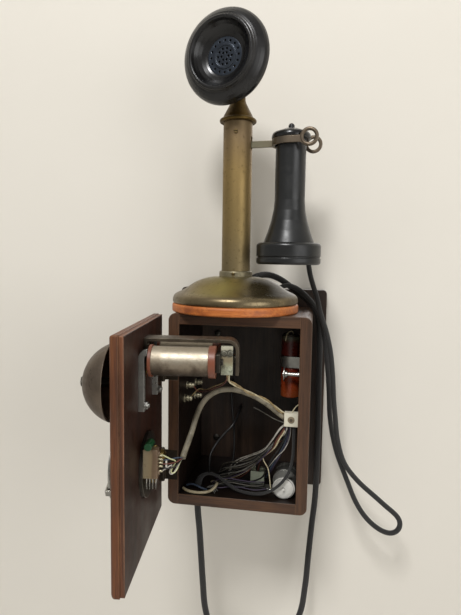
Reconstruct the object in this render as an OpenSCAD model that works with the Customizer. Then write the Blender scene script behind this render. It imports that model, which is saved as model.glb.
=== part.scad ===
// Wall telephone: a pedestal set on a wooden bell box whose door carries bells and a dial.
// Millimetres. The origin is on the wall behind the middle of the box.
// +X runs to the viewer's right, +Y into the wall and +Z up.

/* [Box] */
// Outer width of the box
box_w = 155; // [148:1:165]
// Outer height of the box
box_h = 216; // [210:1:230]
// Depth of the box in front of the back board
box_d = 117; // [112:1:128]
// Thickness of the box boards
box_wall = 12; // [10:0.5:13]
// Rounding of the outer box corners
box_corner = 8; // [3:0.5:9]
// Thickness of the back board
board_t = 12; // [10:1:16]
// Back board margin beside the box
board_side = 16.5; // [12:0.5:22]
// Back board margin above the box
board_above = 22; // [14:1:28]
// Back board margin below the box
board_below = 16.5; // [10:0.5:22]
// Rounding of the back board corners
board_corner = 5; // [2:0.5:9]
// Radius of the wall screw holes
screw_hole_r = 2.5; // [2:0.1:3]
// Wall screw spacing across
screw_span_x = 90; // [70:1:100]
// Wall screw spacing upwards
screw_span_z = 140; // [110:1:150]

/* [Door] */
// Angle the door stands open at rest
door_open = 83.7; // [70:0.1:95]
// Thickness of the moulded front board
door_front_t = 8; // [6:0.5:10]
// Thickness of the inner board
door_back_t = 4; // [3:0.5:5]
// Rounding of the front edges
door_round = 4; // [1:0.5:5]
// Gap between closed door and box
door_gap = 0.5; // [0.3:0.1:1]
// Door overlap beyond the box on the free side
door_over = 2.4; // [0:0.1:5]
// Door overlap below the box
door_drop = 2; // [0:0.1:4]
// Door edge below the top of the box
door_top_gap = 0.4; // [0.3:0.1:2]
// Hinge pin distance beside the box
hinge_off = 6; // [5:0.1:8]
// Hinge knuckle radius
knuckle_r = 3; // [2.5:0.1:3.4]
// Hinge pin radius
hinge_pin_r = 1.5; // [1:0.1:1.8]
// Length of one hinge
hinge_len = 34; // [26:1:40]
// Height of the upper hinge
hinge_upper_z = 51; // [40:1:70]
// Height of the lower hinge
hinge_lower_z = -63; // [-80:1:-45]

/* [Bells] */
// Gong centres below the top of the box
gong_below = 47; // [46:0.5:54]
// Spacing of the two gongs
gong_span = 85; // [84:0.5:88]
// Gong radius
gong_r = 34; // [30:0.5:34.5]
// Gong dome height
gong_rise = 25; // [20:0.5:29]
// Gong wall thickness
gong_t = 1.6; // [1:0.1:2.2]
// Gong rim distance from the door
gong_stand = 7.5; // [5:0.5:9]
// Coil axes below the inner top of the box
coil_below = 20; // [19:0.5:22]
// Spacing of the two coils
coil_span = 40; // [38:0.5:42]
// Radius of the winding
coil_r = 13.3; // [11:0.1:13.8]
// Radius of the coil cheeks
cheek_r = 14.5; // [13:0.1:15]
// Clapper ball radius
clapper_r = 6.3; // [5:0.1:6.4]

/* [Dial] */
// Height of the dial centre
dial_z = -28; // [-34:0.5:-24]
// Dial case flange radius
dial_r = 38; // [36:0.5:42]
// Dial case flange distance from the door
dial_stand = 7.1; // [4:0.1:9]
// Finger wheel radius
wheel_r = 36.5; // [34:0.5:37]
// Finger wheel thickness
wheel_t = 1.8; // [1.2:0.1:2.4]
// Finger hole radius
finger_r = 6.3; // [5.5:0.1:6.6]
// Finger hole circle radius
finger_ring_r = 27.5; // [26:0.5:29]
// Gear tooth size
gear_module = 0.7; // [0.66:0.01:0.72]

/* [Inside the box] */
// Induction coil radius
induction_r = 11.2; // [10:0.1:12]
// Capacitor can radius
can_r = 12.3; // [11:0.1:13]

/* [Stand] */
// Stand axis from the box centre
stand_x = -11; // [-16:0.5:2]
// Gap between the wooden ring and the back board
stand_back_gap = 0.9; // [0.4:0.1:4]
// Wooden ring beyond the brass rim
ring_lip = 0.5; // [0.3:0.1:2]
// Thickness of the wooden ring
ring_t = 10; // [8:0.5:13]
// Radius of the brass rim
base_r = 71.5; // [66:0.5:72]
// Height of the brass base
base_h = 29.5; // [26:0.5:33]
// Radius of the bead along the brass rim
base_bead = 5.5; // [4:0.5:6]
// Brass sheet thickness
base_wall = 2; // [1.2:0.1:2.5]
// Column outer radius
column_r = 16.25; // [15:0.25:17]
// Column wall thickness
column_wall = 1.6; // [1:0.1:2.5]
// Height of the column cap rim
cap_z = 318; // [314:1:326]
// Height of the hook pivot
hook_z = 294; // [290:0.5:298]
// Turn of the hook towards the viewer
hook_turn = 6; // [0:0.5:12]
// Turn of the transmitter to the viewer's left
face_turn = 16; // [0:0.5:24]

/* [Transmitter and receiver] */
// Height of the transmitter centre
face_z = 377.5; // [374:0.5:384]
// Distance of the widest ring from the stand axis
face_d = 32; // [30:0.5:36]
// Radius of the widest ring
face_r = 48.6; // [46:0.1:50]
// Tilt bolt below the transmitter centre
tilt_drop = 13; // [10:0.5:14]
// Tilt bolt radius
tilt_bolt_r = 2; // [1.5:0.1:2.5]
// Distance of the receiver from the stand axis
reach = 60; // [59:0.5:66]
// Receiver body radius
receiver_r = 16.5; // [14:0.25:16.8]
// Receiver cap flange radius
flange_r = 21.2; // [20.2:0.1:21.4]
// Ear cap radius
ear_r = 35.6; // [33:0.1:36.5]
// Hook band height
band_h = 7; // [5:0.5:8]
// Hook band thickness
band_t = 2.8; // [1.8:0.1:3]
// Half width of the fork opening
fork_half = 18; // [17:0.1:18.4]
// Eyelet outer radius
eyelet_r = 9.6; // [9:0.1:9.8]
// Eyelet hole radius
eyelet_hole_r = 6.8; // [6:0.1:7]

/* [Cords] */
// Stand cord radius
stand_cord_r = 3.75; // [2.5:0.25:3.75]
// Receiver cord radius
receiver_cord_r = 3; // [2:0.25:3]
// Dial cable radius
dial_cable_r = 2.8; // [2:0.1:3]

/* [Hidden] */
$fn = 48;
front_y = -board_t - box_d;
box_top = box_h / 2;
box_bottom = -box_h / 2;
inner_x = box_w / 2 - box_wall;
inner_top = box_top - box_wall;
inner_bottom = box_bottom + box_wall;
pin_x = -box_w / 2 - hinge_off;
pin_y = front_y - door_gap / 2;
door_in = -door_gap / 2;
door_out = door_in - door_back_t - door_front_t;
door_s0 = 4.4;
door_s1 = hinge_off + box_w + door_over;
door_z0 = box_bottom - door_drop;
door_z1 = box_top - door_top_gap;
mid_s = hinge_off + box_w / 2 - 0.5;
ring_r = base_r + ring_lip;
stand_y = -board_t - stand_back_gap - ring_r;
ring_top = box_top + ring_t;
base_top = ring_top + base_h;
coil_z = inner_top - coil_below;
gong_z = box_top - gong_below;
gong_at = [mid_s - gong_span / 2, mid_s + gong_span / 2];
rim_h = door_out - gong_stand;
gong_ball_r = (gong_r * gong_r + gong_rise * gong_rise) / (2 * gong_rise);
coil_at = [mid_s - coil_span / 2, mid_s + coil_span / 2];
bracket_top = min(inner_top - 1.4, coil_z + 18.6);
strap_at = [coil_at[0] - 9, coil_at[1] + 9];
flange_h = door_out - dial_stand;
wheel_front = flange_h - 7.4;
main_teeth = 48;
governor_teeth = 14;
tilt_z = face_z - tilt_drop;
gear_dist = gear_module * (main_teeth + governor_teeth) / 2;

// Routes of the cords and cables, chosen by eye
stand_route = [
    [10.6, -50.86, 147.47], [11.58, -50.4, 147.98], [14.7, -48.95, 149.1], [18.5, -47.2, 149.6],
    [26, -43.9, 148.6], [34, -40.5, 145.4], [42, -37, 140.6], [52, -32, 132.4],
    [62.4, -29.5, 124.6], [71.8, -28.5, 116.4], [79.8, -26.5, 107.6], [84.6, -24.5, 95.2], [86, -23, 80],
    [87, -22, 55], [87, -21, 25], [87.5, -21, -10], [88, -21, -45], [88, -21, -80],
    [88, -21, -114], [87, -22, -140], [84, -26, -172], [81, -31, -210], [78, -37, -250],
    [72, -43, -285], [58, -52, -308], [36, -64, -318], [10, -77, -316], [-14, -87, -304],
    [-32, -93, -282], [-40, -95, -255], [-43, -97, -220], [-45, -99, -185], [-47, -101, -150],
    [-49, -103, -122], [-49, -103, -97], [-46.8, -103.6, -87.5], [-38.5, -106, -79.8], [-27, -109, -79],
    [-15, -112.5, -85], [-3, -116, -91], [10, -119.5, -92.2], [23.5, -122.5, -91.2], [35, -124.4, -87],
    [45.5, -124.6, -79.5], [54, -124.4, -69], [59.6, -121.8, -56], [61.2, -119, -42], [61.2, -118, -26],
    [61.2, -118, -12.9]];
receiver_route = [
    [63.3, -61.15, 194], [63.75, -60.25, 194], [66.49, -54.63, 192.33], [68.49, -50.52, 187.75],
    [69.22, -49.01, 181.5], [69.9, -49.2, 169], [70.8, -50.5, 161], [73, -53, 150], [77, -57, 137],
    [82, -60, 123], [86, -58, 106], [93, -54, 86], [99, -50, 62], [103, -48, 32],
    [105.5, -47, 0], [108, -47, -22], [112, -48, -51], [121, -50, -78], [137, -52, -97],
    [159, -55, -114.5], [172, -57, -124.6], [182, -58.5, -132], [186, -59.2, -136.6], [187.4, -59.8, -142.5],
    [186, -60, -148.4], [182, -60, -153], [176, -59.5, -155.4], [169.5, -58.6, -154.5],
    [157, -56.5, -148.5], [146, -53.5, -139], [135, -48, -123.5], [126, -42, -104], [119, -39, -88],
    [112, -38, -70], [106.5, -37, -50], [102, -36, -25], [100, -35, 5], [97, -35, 38],
    [92.5, -36, 72], [87, -38, 97], [80, -40, 111.5], [71, -41, 122], [60.5, -41.8, 131.4],
    [50.4, -43.6, 136.3], [46.7, -44.65, 137.2], [43, -46, 136.9], [39.66, -47.58, 135.49],
    [37, -49.25, 133.08], [36.45, -49.67, 132.37]];
dial_route = [
    [-55.3, -233.2, -19], [-52.3, -232.87, -19], [-47.2, -230.6, -22.5], [-43.6, -223, -29.5],
    [-42.3, -213.5, -32.5], [-41, -202, -28.5],
    [-37, -182, -4], [-30, -166, 13], [-21, -151, 24], [-10, -140, 28], [4, -130, 23],
    [26, -119.5, 11], [40, -118, 0], [45.5, -117.6, -4.2], [48, -117.5, -5], [50.1, -117.5, -5]];
ringer_route = [
    [3.7, -213.2, 62.6], [4.2, -212, 55], [7, -200, 46], [13, -175, 36], [24, -146, 23],
    [38, -126, 10], [45, -119.5, 3], [48.4, -117.5, 0.6], [50.1, -117.5, 0.6]];
wiring_route = [
    [53.4, -118, -12.9], [53.4, -118, -14.5], [52.4, -115, -22], [45, -106, -34], [33, -98, -46],
    [24, -92, -58], [19.6, -87, -70], [19, -85.5, -79.6]];

// Helpers

function arc(cx, cy, r, a0, a1, n) =
    [for (i = [0:n]) let (a = a0 + (a1 - a0) * i / n) [cx + r * cos(a), cy + r * sin(a)]];

// Angle by which an involute has turned at a radius
function roll(r, rb) = let (a = acos(min(1, rb / r))) tan(a) * 180 / PI - a;

// Half the angle of one tooth at a radius
function half_tooth(r, n, rp, rb, slack) = 90 / n - slack + roll(rp, rb) - roll(max(r, rb), rb);

function gear_points(n, m, slack) =
    let (rp = m * n / 2, rb = rp * cos(20), tip = rp + 0.8 * m, root = rp - 1.1 * m)
    let (low = max(root, rb), steps = [for (k = [0:3]) low + (tip - low) * k / 3])
    [for (i = [0:n - 1])
        let (mid = 360 * i / n)
        for (p = concat(
            [[root, -half_tooth(root, n, rp, rb, slack)]],
            [for (r = steps) [r, -half_tooth(r, n, rp, rb, slack)]],
            [for (k = [3:-1:0]) [steps[k], half_tooth(steps[k], n, rp, rb, slack)]],
            [[root, half_tooth(root, n, rp, rb, slack)]]))
        [p[0] * cos(mid + p[1]), p[0] * sin(mid + p[1])]];

function unit(v) = v / norm(v);

function tangent(pts, i) =
    unit(pts[min(i + 1, len(pts) - 1)] - pts[max(i - 1, 0)]);

// Side vectors carried along a route without twisting
function sides(pts, i, v) =
    let (t = tangent(pts, i), w = unit(v - t * (v * t)))
    i == len(pts) - 1 ? [w] : concat([w], sides(pts, i + 1, w));

module tube(pts, r, n) {
    first = tangent(pts, 0);
    side = sides(pts, 0, abs(first[0]) > 0.8 ? [0, 0, 1] : [1, 0, 0]);
    last = len(pts) - 1;
    points = [for (i = [0:last])
        let (t = tangent(pts, i), b = cross(t, side[i]))
        for (k = [0:n - 1])
        pts[i] + r * (side[i] * cos(360 * k / n) + b * sin(360 * k / n))];
    walls = [for (i = [0:last - 1])
        for (k = [0:n - 1])
        let (k2 = (k + 1) % n)
        for (f = [[i * n + k2, i * n + k, (i + 1) * n + k], [i * n + k2, (i + 1) * n + k, (i + 1) * n + k2]])
        f];
    start = [[for (k = [0:n - 1]) k]];
    end = [[for (k = [n - 1:-1:0]) last * n + k]];
    polyhedron(points = points, faces = concat(start, walls, end), convexity = 8);
}

// Door frame: x along the door from the hinge pin, y into the closed box
module on_door() {
    translate([pin_x, pin_y, 0])
        rotate([0, 0, -door_open])
        children();
}

module on_stand(turn) {
    translate([stand_x, stand_y, 0])
        rotate([0, 0, -turn])
        children();
}

// A flat outline in x and z, from y0 to y1
module slab_y(y0, y1) {
    translate([0, y1, 0])
        rotate([90, 0, 0])
        linear_extrude(y1 - y0)
        children();
}

// A flat outline in y and z, from x0 to x1
module slab_x(x0, x1) {
    translate([x0, 0, 0])
        rotate([90, 0, 90])
        linear_extrude(x1 - x0)
        children();
}

module rod_y(r, y0, y1) {
    translate([0, y1, 0])
        rotate([90, 0, 0])
        cylinder(r = r, h = y1 - y0);
}

module rod_x(r, x0, x1) {
    translate([x0, 0, 0])
        rotate([0, 90, 0])
        cylinder(r = r, h = x1 - x0);
}

// A profile of radius and distance, turned about an axis that points to the viewer
module turned(y) {
    translate([0, y, 0])
        rotate([90, 0, 0])
        rotate_extrude()
        children();
}

module block(x0, x1, y0, y1, z0, z1) {
    translate([x0, y0, z0])
        cube([x1 - x0, y1 - y0, z1 - z0]);
}

module rounded_sheet(w, h, r) {
    square([w - 2 * r, h], center = true);
    square([w, h - 2 * r], center = true);
    for (x = [-1, 1]) {
        for (z = [-1, 1]) {
            translate([x * (w / 2 - r), z * (h / 2 - r)])
                circle(r);
        }
    }
}

// Box

module back_board() {
    z0 = box_bottom - board_below;
    z1 = box_top + board_above;
    color("#2a211c")
        slab_y(-board_t, 0)
        difference() {
            translate([0, (z0 + z1) / 2])
                rounded_sheet(box_w + 2 * board_side, z1 - z0, board_corner);
            for (x = [-1, 1]) {
                for (z = [-1, 1]) {
                    translate([x * screw_span_x / 2, z * screw_span_z / 2])
                        circle(screw_hole_r);
                }
            }
        }
}

module case_side() {
    slab_y(front_y, -board_t)
        intersection() {
            rounded_sheet(box_w, box_h, box_corner);
            translate([-box_w / 2, -box_h / 2])
                square([box_wall, box_h]);
        }
}

module case_left() {
    color("#4a2f20")
        difference() {
            case_side();
            for (z = [hinge_upper_z, hinge_lower_z]) {
                block(-box_w / 2 - 1, pin_x + 17.2, front_y - 1, front_y + 1.3, z - hinge_len / 2 - 0.2,
                    z + hinge_len / 2 + 0.2);
            }
        }
}

module case_right() {
    color("#4a2f20")
        mirror([1, 0, 0])
        case_side();
}

module case_shelf(z0) {
    block(-inner_x, inner_x, front_y, -board_t, z0, z0 + box_wall);
}

module case_top() {
    color("#4a2f20")
        difference() {
            case_shelf(inner_top);
            at_base_screws() {
                translate([0, 0, inner_top - 1])
                    cylinder(r = 1.9, h = box_wall + 2);
                translate([0, 0, inner_top - 1])
                    cylinder(r = 3.7, h = 3.4);
            }
        }
}

module case_bottom() {
    color("#4a2f20")
        difference() {
            case_shelf(box_bottom);
            translate([-49, -103, box_bottom - 1])
                cylinder(r = 5, h = box_wall + 2);
        }
}

module hinge_case_side() {
    third = hinge_len / 3;
    for (z = [-1, 1]) {
        translate([0, 0, z * third - third / 2 + (z < 0 ? 0 : 0.2)])
            cylinder(r = knuckle_r, h = third - 0.2);
        block(0, 6, -door_in, 1.2 - door_in, z * third - third / 2 + (z < 0 ? 0 : 0.2),
            z * third + third / 2 - (z < 0 ? 0.2 : 0));
    }
    block(5, 17, -door_in, 1.2 - door_in, -hinge_len / 2, hinge_len / 2);
    translate([0, 0, -hinge_len / 2 - 1.5])
        cylinder(r = hinge_pin_r, h = hinge_len + 3);
    for (z = [-hinge_len / 2 - 2, hinge_len / 2]) {
        translate([0, 0, z])
            cylinder(r = hinge_pin_r + 0.8, h = 2);
    }
}

module case_hinges() {
    color("#6b5a3a")
        translate([pin_x, pin_y, 0])
        for (z = [hinge_upper_z, hinge_lower_z]) {
            translate([0, 0, z])
                hinge_case_side();
        }
}

// Stand

module at_base_screws() {
    for (p = [[44, -37], [-44, -37], [29, 50], [-29, 50]]) {
        translate([stand_x + p[0], stand_y + p[1], 0])
            children();
    }
}

module wooden_ring() {
    color("#8a5526")
        translate([stand_x, stand_y, 0])
        difference() {
            rotate_extrude()
                polygon(concat(
                    [[42, box_top], [ring_r - 2, box_top]],
                    arc(ring_r - 2, box_top + 2, 2, -60, 0, 3),
                    arc(ring_r - 3, ring_top - 3, 3, 0, 90, 5),
                    [[42, ring_top]]));
            translate([-stand_x, -stand_y, 0])
                at_base_screws()
                translate([0, 0, box_top - 1])
                cylinder(r = 1.9, h = 8);
        }
}

module stand_screws() {
    color("#b9a46a") {
        at_base_screws() {
            translate([0, 0, inner_top + 0.2])
                cylinder(r = 3.5, h = 2.2);
            translate([0, 0, inner_top + 0.2])
                cylinder(r = 1.8, h = box_wall + 5);
        }
        on_stand(0) {
            translate([0, 0, cap_z - 12])
                rod_y(2.2, -column_r - 1, -column_r + 0.6);
            translate([0, 0, base_top + 3.2])
                rod_y(1.8, -column_r - 3.4, -column_r - 0.1);
        }
    }
}

// Outline of the brass base, drawn a little inside itself by an inset
function base_line(inset) =
    let (bead = base_bead - inset, dome = base_r - 16.5 - inset, cx = 20, cz = base_top - base_r + 16.5)
    concat(
        [[base_r - inset, ring_top + 2]],
        arc(base_r - base_bead, ring_top + base_bead, bead, 0, 95, 8),
        arc(cx, cz, dome, 43, 90, 12));

module stand_base() {
    outer = base_line(0);
    inner = base_line(base_wall);
    color("#6d5a2c")
        translate([stand_x, stand_y, 0])
        difference() {
            rotate_extrude()
                polygon(concat(
                    [[base_r - 6, ring_top], [base_r - 0.8, ring_top]],
                    outer,
                    [[column_r - column_wall, base_top], [column_r - column_wall, base_top - base_wall]],
                    [for (i = [len(inner) - 1:-1:0]) inner[i]],
                    [[base_r - 6, ring_top + 2]]));
            translate([-stand_x, -stand_y, 0]) {
                translate([6, -53, base_top - 2.4])
                    rotate([0, 65, 25])
                    translate([0, 0, -9])
                    cylinder(r = 4.2, h = 17);
                translate([36, -50, base_top - 15.7])
                    rotate([0, 44.4, 36.6])
                    translate([0, 0, -5])
                    cylinder(r = 4.2, h = 10);
            }
        }
}

module column_collar() {
    color("#7a6632")
        on_stand(0)
        difference() {
            rotate_extrude()
                polygon(concat(
                    [[column_r + 0.02, base_top], [column_r + 2.6, base_top]],
                    arc(column_r + 1.2, base_top + 5, 1.4, 0, 90, 4),
                    [[column_r + 0.02, base_top + 6.4]]));
            translate([0, 0, base_top + 3.2])
                rod_y(1.85, -column_r - 10, -column_r + 0.5);
        }
}

module column_tube() {
    color("#75622f")
        translate([stand_x, stand_y, 0])
        difference() {
            translate([0, 0, base_top + 0.02])
                cylinder(r = column_r, h = cap_z - base_top - 0.02);
            translate([0, 0, base_top - 1])
                cylinder(r = column_r - column_wall, h = cap_z - base_top + 2);
            rotate([0, 0, -hook_turn]) {
                block(0, 30, -3.2, 3.2, hook_z - band_h / 2 - 1.5, hook_z + band_h / 2 + 5);
                translate([0, 0, hook_z])
                    rod_y(2.02, -column_r + 0.7, 30);
            }
            translate([0, 0, cap_z - 12])
                rod_y(2.22, -30, 0);
        }
}

// The ears that hold the transmitter stand on the stem of the cap
module column_cap() {
    color("#7d6934")
        on_stand(face_turn) {
            rotate_extrude()
                polygon(concat(
                    [[0, cap_z - 6], [column_r - column_wall - 0.1, cap_z - 6]],
                    [[column_r - column_wall - 0.1, cap_z + 0.05], [column_r + 2.4, cap_z + 0.05]],
                    arc(column_r + 2.4, cap_z + 2.05, 2, -90, 90, 8),
                    [[17.2, cap_z + 4.8], [15.6, cap_z + 8.6], [13.2, cap_z + 13], [10.8, cap_z + 17.6]],
                    [[9, cap_z + 21], [8, cap_z + 24.4], [7.4, tilt_z - 9], [0, tilt_z - 9]]));
            for (x = [-1, 1]) {
                difference() {
                    slab_x(x < 0 ? -5.8 : 2.8, x < 0 ? -2.8 : 5.8)
                        union() {
                            translate([0, tilt_z])
                                circle(5.6);
                            translate([-5.2, tilt_z - 12])
                                square([10.4, 12]);
                        }
                    translate([0, 0, tilt_z])
                        rod_x(tilt_bolt_r + 0.02, -10, 10);
                }
            }
        }
}

module tilt_bolt() {
    color("#8c7a45")
        on_stand(face_turn)
        translate([0, 0, tilt_z]) {
            rod_x(tilt_bolt_r, -7, 8);
            rod_x(4, -8.4, -5.9);
            rotate([0, 90, 0])
                translate([0, 0, 5.9])
                cylinder(r = 4, h = 3, $fn = 6);
        }
}

module hook_pin() {
    color("#8c7a45")
        on_stand(hook_turn)
        translate([0, 0, hook_z])
        rod_y(2, -column_r + 0.75, column_r + 0.4);
}

module cord_bushes() {
    color("#1b1a19") {
        translate([6, -53, base_top - 2.4])
            rotate([0, 65, 25])
            translate([0, 0, -6])
            cylinder(r = 4.1, h = 11.4);
        translate([36, -50, base_top - 15.7])
            rotate([0, 44.4, 36.6])
            translate([0, 0, -4])
            cylinder(r = 4.1, h = 4.6);
    }
}

// Inside the box

module induction_coil() {
    color("#4d1f1a")
        translate([inner_x - induction_r - 0.4, -71, 0]) {
            translate([0, 0, 9])
                cylinder(r = induction_r, h = 71);
            translate([0, 0, 80])
                cylinder(r = 8, h = 1.6);
            translate([0, 0, 7.4])
                cylinder(r = 8, h = 1.6);
        }
}

// Arched strap outline with two legs and feet, legs running down to a depth
module strap(r, t, depth, foot) {
    difference() {
        union() {
            circle(r + t);
            translate([-r - t, -depth])
                square([2 * (r + t), depth]);
        }
        circle(r);
        translate([-r, -depth - r])
            square([2 * r, depth + r]);
    }
    translate([-r - t - foot, -depth])
        square([foot + t / 2, 1.3]);
}

module clamp_straps() {
    color("#a9a9a4") {
        translate([inner_x - induction_r - 0.4, -71, 44])
            linear_extrude(13)
            rotate(90)
            strap(induction_r + 0.2, 0.9, induction_r + 0.3, 8);
        translate([0, -78.8 - induction_r, 38]) {
            rod_x(2.2, inner_x - 20, inner_x - 0.1);
            rod_x(8.5, inner_x - 18.6, inner_x - 17.4);
            rod_x(4, inner_x - 17.5, inner_x - 14.5);
        }
        translate([inner_x - can_r - 1.5, 0, inner_bottom + can_r + 0.2])
            slab_y(-100, -88)
            strap(can_r + 0.15, 1, can_r + 0.1, 10);
    }
}

module capacitor() {
    color("#d9d6cc")
        translate([inner_x - can_r - 1.5, 0, inner_bottom + can_r + 0.2]) {
            rod_y(can_r, -119, -76);
            rod_y(can_r - 1.5, -120.5, -118);
            rod_y(1.4, -123, -120);
        }
}

module tie_mount() {
    color("#d8d2bd") {
        block(inner_x - 15, inner_x, -122, -114, -12.5, 2.5);
        translate([inner_x - 7.5, 0, -5])
            rod_y(2.8, -123.2, -121);
    }
}

module terminal_block() {
    color("#b9c2ae") {
        block(11, 27, -89, -75, inner_bottom, inner_bottom + 16);
        for (x = [15, 23]) {
            translate([x, -79, inner_bottom + 15])
                cylinder(r = 2.6, h = 2.4);
        }
    }
}

module wall_terminals() {
    color("#9b8347")
        for (p = [[-92.6, 19.6], [-102.9, 6.8], [-51.7, -3.3], [-49, 12.7]]) {
            translate([-inner_x, p[0], p[1]]) {
                rod_x(4.6, 0, 1);
                rod_x(1.9, 0, 9);
                rod_x(3.4, 3, 5.4);
                rod_x(3, 6.6, 8.2);
            }
        }
}

// Cords

module stand_cord() {
    color("#171615")
        tube(stand_route, stand_cord_r, 10);
}

module receiver_cord() {
    color("#171615")
        tube(receiver_route, receiver_cord_r, 10);
}

module dial_cable() {
    color("#6f7072")
        tube(dial_route, dial_cable_r, 8);
}

module ringer_wires() {
    color("#b8a98a")
        tube(ringer_route, 1.4, 8);
}

module case_wiring() {
    color("#3a3733")
        tube(wiring_route, 2.4, 8);
}

// Door

// A board with rounded front edges, made by crossing two rounded strips
module moulded(s0, s1, z0, z1, y0, y1, r) {
    intersection() {
        translate([0, 0, z0])
            linear_extrude(z1 - z0)
            strip(s0, s1, y0, y1, r);
        translate([s0 - 1, 0, 0])
            rotate([0, 90, 0])
            linear_extrude(s1 - s0 + 2)
            mirror([1, 0])
            strip(z0, z1, y0, y1, r);
    }
}

module strip(a0, a1, y0, y1, r) {
    translate([a0, y0 + r])
        square([a1 - a0, y1 - y0 - r]);
    translate([a0 + r, y0])
        square([a1 - a0 - 2 * r, r + 0.01]);
    for (a = [a0 + r, a1 - r]) {
        translate([a, y0 + r])
            circle(r);
    }
}

module door_holes(y0, y1) {
    translate([mid_s, 0, dial_z])
        rod_y(31, y0, y1);
    translate([mid_s, 0, gong_z])
        rod_y(5.5, y0, y1);
}

module door_panel() {
    color("#5a3522")
        on_door()
        difference() {
            moulded(door_s0, door_s1, door_z0, door_z1, door_out, door_in - door_back_t, door_round);
            door_holes(door_out - 1, 5);
        }
}

module door_backing() {
    color("#2e201a")
        on_door()
        difference() {
            block(door_s0 + 0.6, door_s1 - 0.8, door_in - door_back_t, door_in, door_z0 + 0.8, door_z1 - 0.8);
            door_holes(door_out, 5);
            for (z = [hinge_upper_z, hinge_lower_z]) {
                block(0, 17.2, door_in - 1.3, 5, z - hinge_len / 2 - 0.2, z + hinge_len / 2 + 0.2);
            }
        }
}

module door_hinges() {
    third = hinge_len / 3;
    color("#6b5a3a")
        on_door()
        for (z = [hinge_upper_z, hinge_lower_z]) {
            translate([0, 0, z]) {
                difference() {
                    union() {
                        translate([0, 0, -third / 2 + 0.1])
                            cylinder(r = knuckle_r, h = third - 0.2);
                        block(0, 6, door_in - 1.2, door_in, -third / 2 + 0.1, third / 2 - 0.1);
                    }
                    translate([0, 0, -hinge_len])
                        cylinder(r = hinge_pin_r + 0.06, h = 2 * hinge_len);
                }
                block(5.6, 17, door_in - 1.2, door_in, -hinge_len / 2, hinge_len / 2);
            }
        }
}

module gong(s) {
    lift = gong_rise - gong_ball_r;
    inside = gong_ball_r - gong_t;
    on_door()
        translate([s, 0, gong_z])
        turned(rim_h)
        polygon(concat(
            arc(0, lift, gong_ball_r, asin(-lift / gong_ball_r), acos(3.1 / gong_ball_r), 12),
            arc(0, lift, inside, acos(3.1 / inside), asin(-lift / inside), 12)));
}

module left_gong() {
    color("#77736a")
        gong(gong_at[0]);
}

module right_gong() {
    color("#77736a")
        gong(gong_at[1]);
}

module gong_posts() {
    top = rim_h - gong_rise;
    color("#8c8a84")
        on_door()
        for (s = gong_at) {
            translate([s, 0, gong_z]) {
                rod_y(4, top + gong_t + 0.5, door_out);
                rod_y(2.9, top - 2, door_out);
                translate([0, top - 0.1, 0])
                    rotate([90, 0, 0])
                    cylinder(r = 4.6, h = 1.8, $fn = 6);
            }
        }
}

// Straps that lie on the door and bend over to the coils
module gong_brackets() {
    color("#7f7c75")
        on_door()
        for (s = strap_at) {
            slab_x(s - 2.5, s + 2.5)
                polygon(concat(
                    [[door_in, coil_z - 44], [5, coil_z - 44]],
                    arc(7.5, coil_z + 4, 2.5, 180, 90, 6),
                    arc(7.5, coil_z + 4, 7.5 - door_in, 90, 180, 8)));
            translate([s, 4.9, coil_z - 38.5])
                rotate([-90, 0, 0])
                cylinder(r = 3.6, h = 3, $fn = 6);
            translate([s, 0, coil_z - 38.5])
                rod_y(1.8, 7, 9.4);
        }
}

module ringer_bracket() {
    color("#4a4a48")
        on_door() {
            slab_x(mid_s - 10, mid_s + 10)
                polygon(concat(
                    [[door_in, coil_z + 8], [2.75, coil_z + 8], [2.75, bracket_top - 3]],
                    arc(77, bracket_top - 10, 7, 90, 0, 6),
                    [[84, coil_z - 14], [87, coil_z - 14]],
                    arc(77, bracket_top - 10, 10, 0, 90, 8),
                    [[door_in, bracket_top]]));
            for (s = [mid_s - 6, mid_s + 6]) {
                translate([s, 0, bracket_top - 6.4])
                    rod_y(1.9, 2.7, 3.9);
            }
        }
}

module ringer_coils() {
    color("#b7b6b0")
        on_door()
        for (s = coil_at) {
            translate([s, 0, coil_z])
                difference() {
                    rod_y(coil_r, 10.5, 61);
                    rod_y(5.3, 0, 80);
                }
        }
}

module coil_cheeks() {
    color("#6e3a28")
        on_door()
        for (s = coil_at) {
            translate([s, 0, coil_z])
                difference() {
                    union() {
                        rod_y(cheek_r, 7.8, 10.5);
                        rod_y(cheek_r, 61, 67);
                    }
                    rod_y(5.2, 0, 80);
                }
        }
}

module ringer_yoke() {
    color("#54524e")
        on_door() {
            for (s = coil_at) {
                translate([s, 0, coil_z]) {
                    rod_y(5, 7.2, 68);
                    rod_y(3, 71, 73.4);
                }
            }
            block(coil_at[0] - 8, coil_at[1] + 8, 67, 71, coil_z - 8, coil_z + 8);
            translate([mid_s, 0, coil_z])
                rod_y(4, 70, 84);
        }
}

module terminal_plate() {
    color("#b8a07a")
        on_door() {
            block(mid_s + 7, mid_s + 13.4, 71, 81.6, coil_z - 13, coil_z + 13);
            for (y = [73.8, 79.2]) {
                for (z = [-7, 7]) {
                    translate([0, y, coil_z + z])
                        rod_x(1.9, mid_s + 13, mid_s + 14.8);
                }
            }
        }
}

module armature_pivot() {
    color("#8c8a84")
        on_door()
        translate([mid_s, 0, 0]) {
            block(-4, 4, door_in, 7, coil_z - 9.5, coil_z - 7.5);
            block(-4, 4, door_in, 7, coil_z + 6, coil_z + 7.9);
            translate([0, 4, coil_z - 9])
                cylinder(r = 1.5, h = 16);
        }
}

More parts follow.
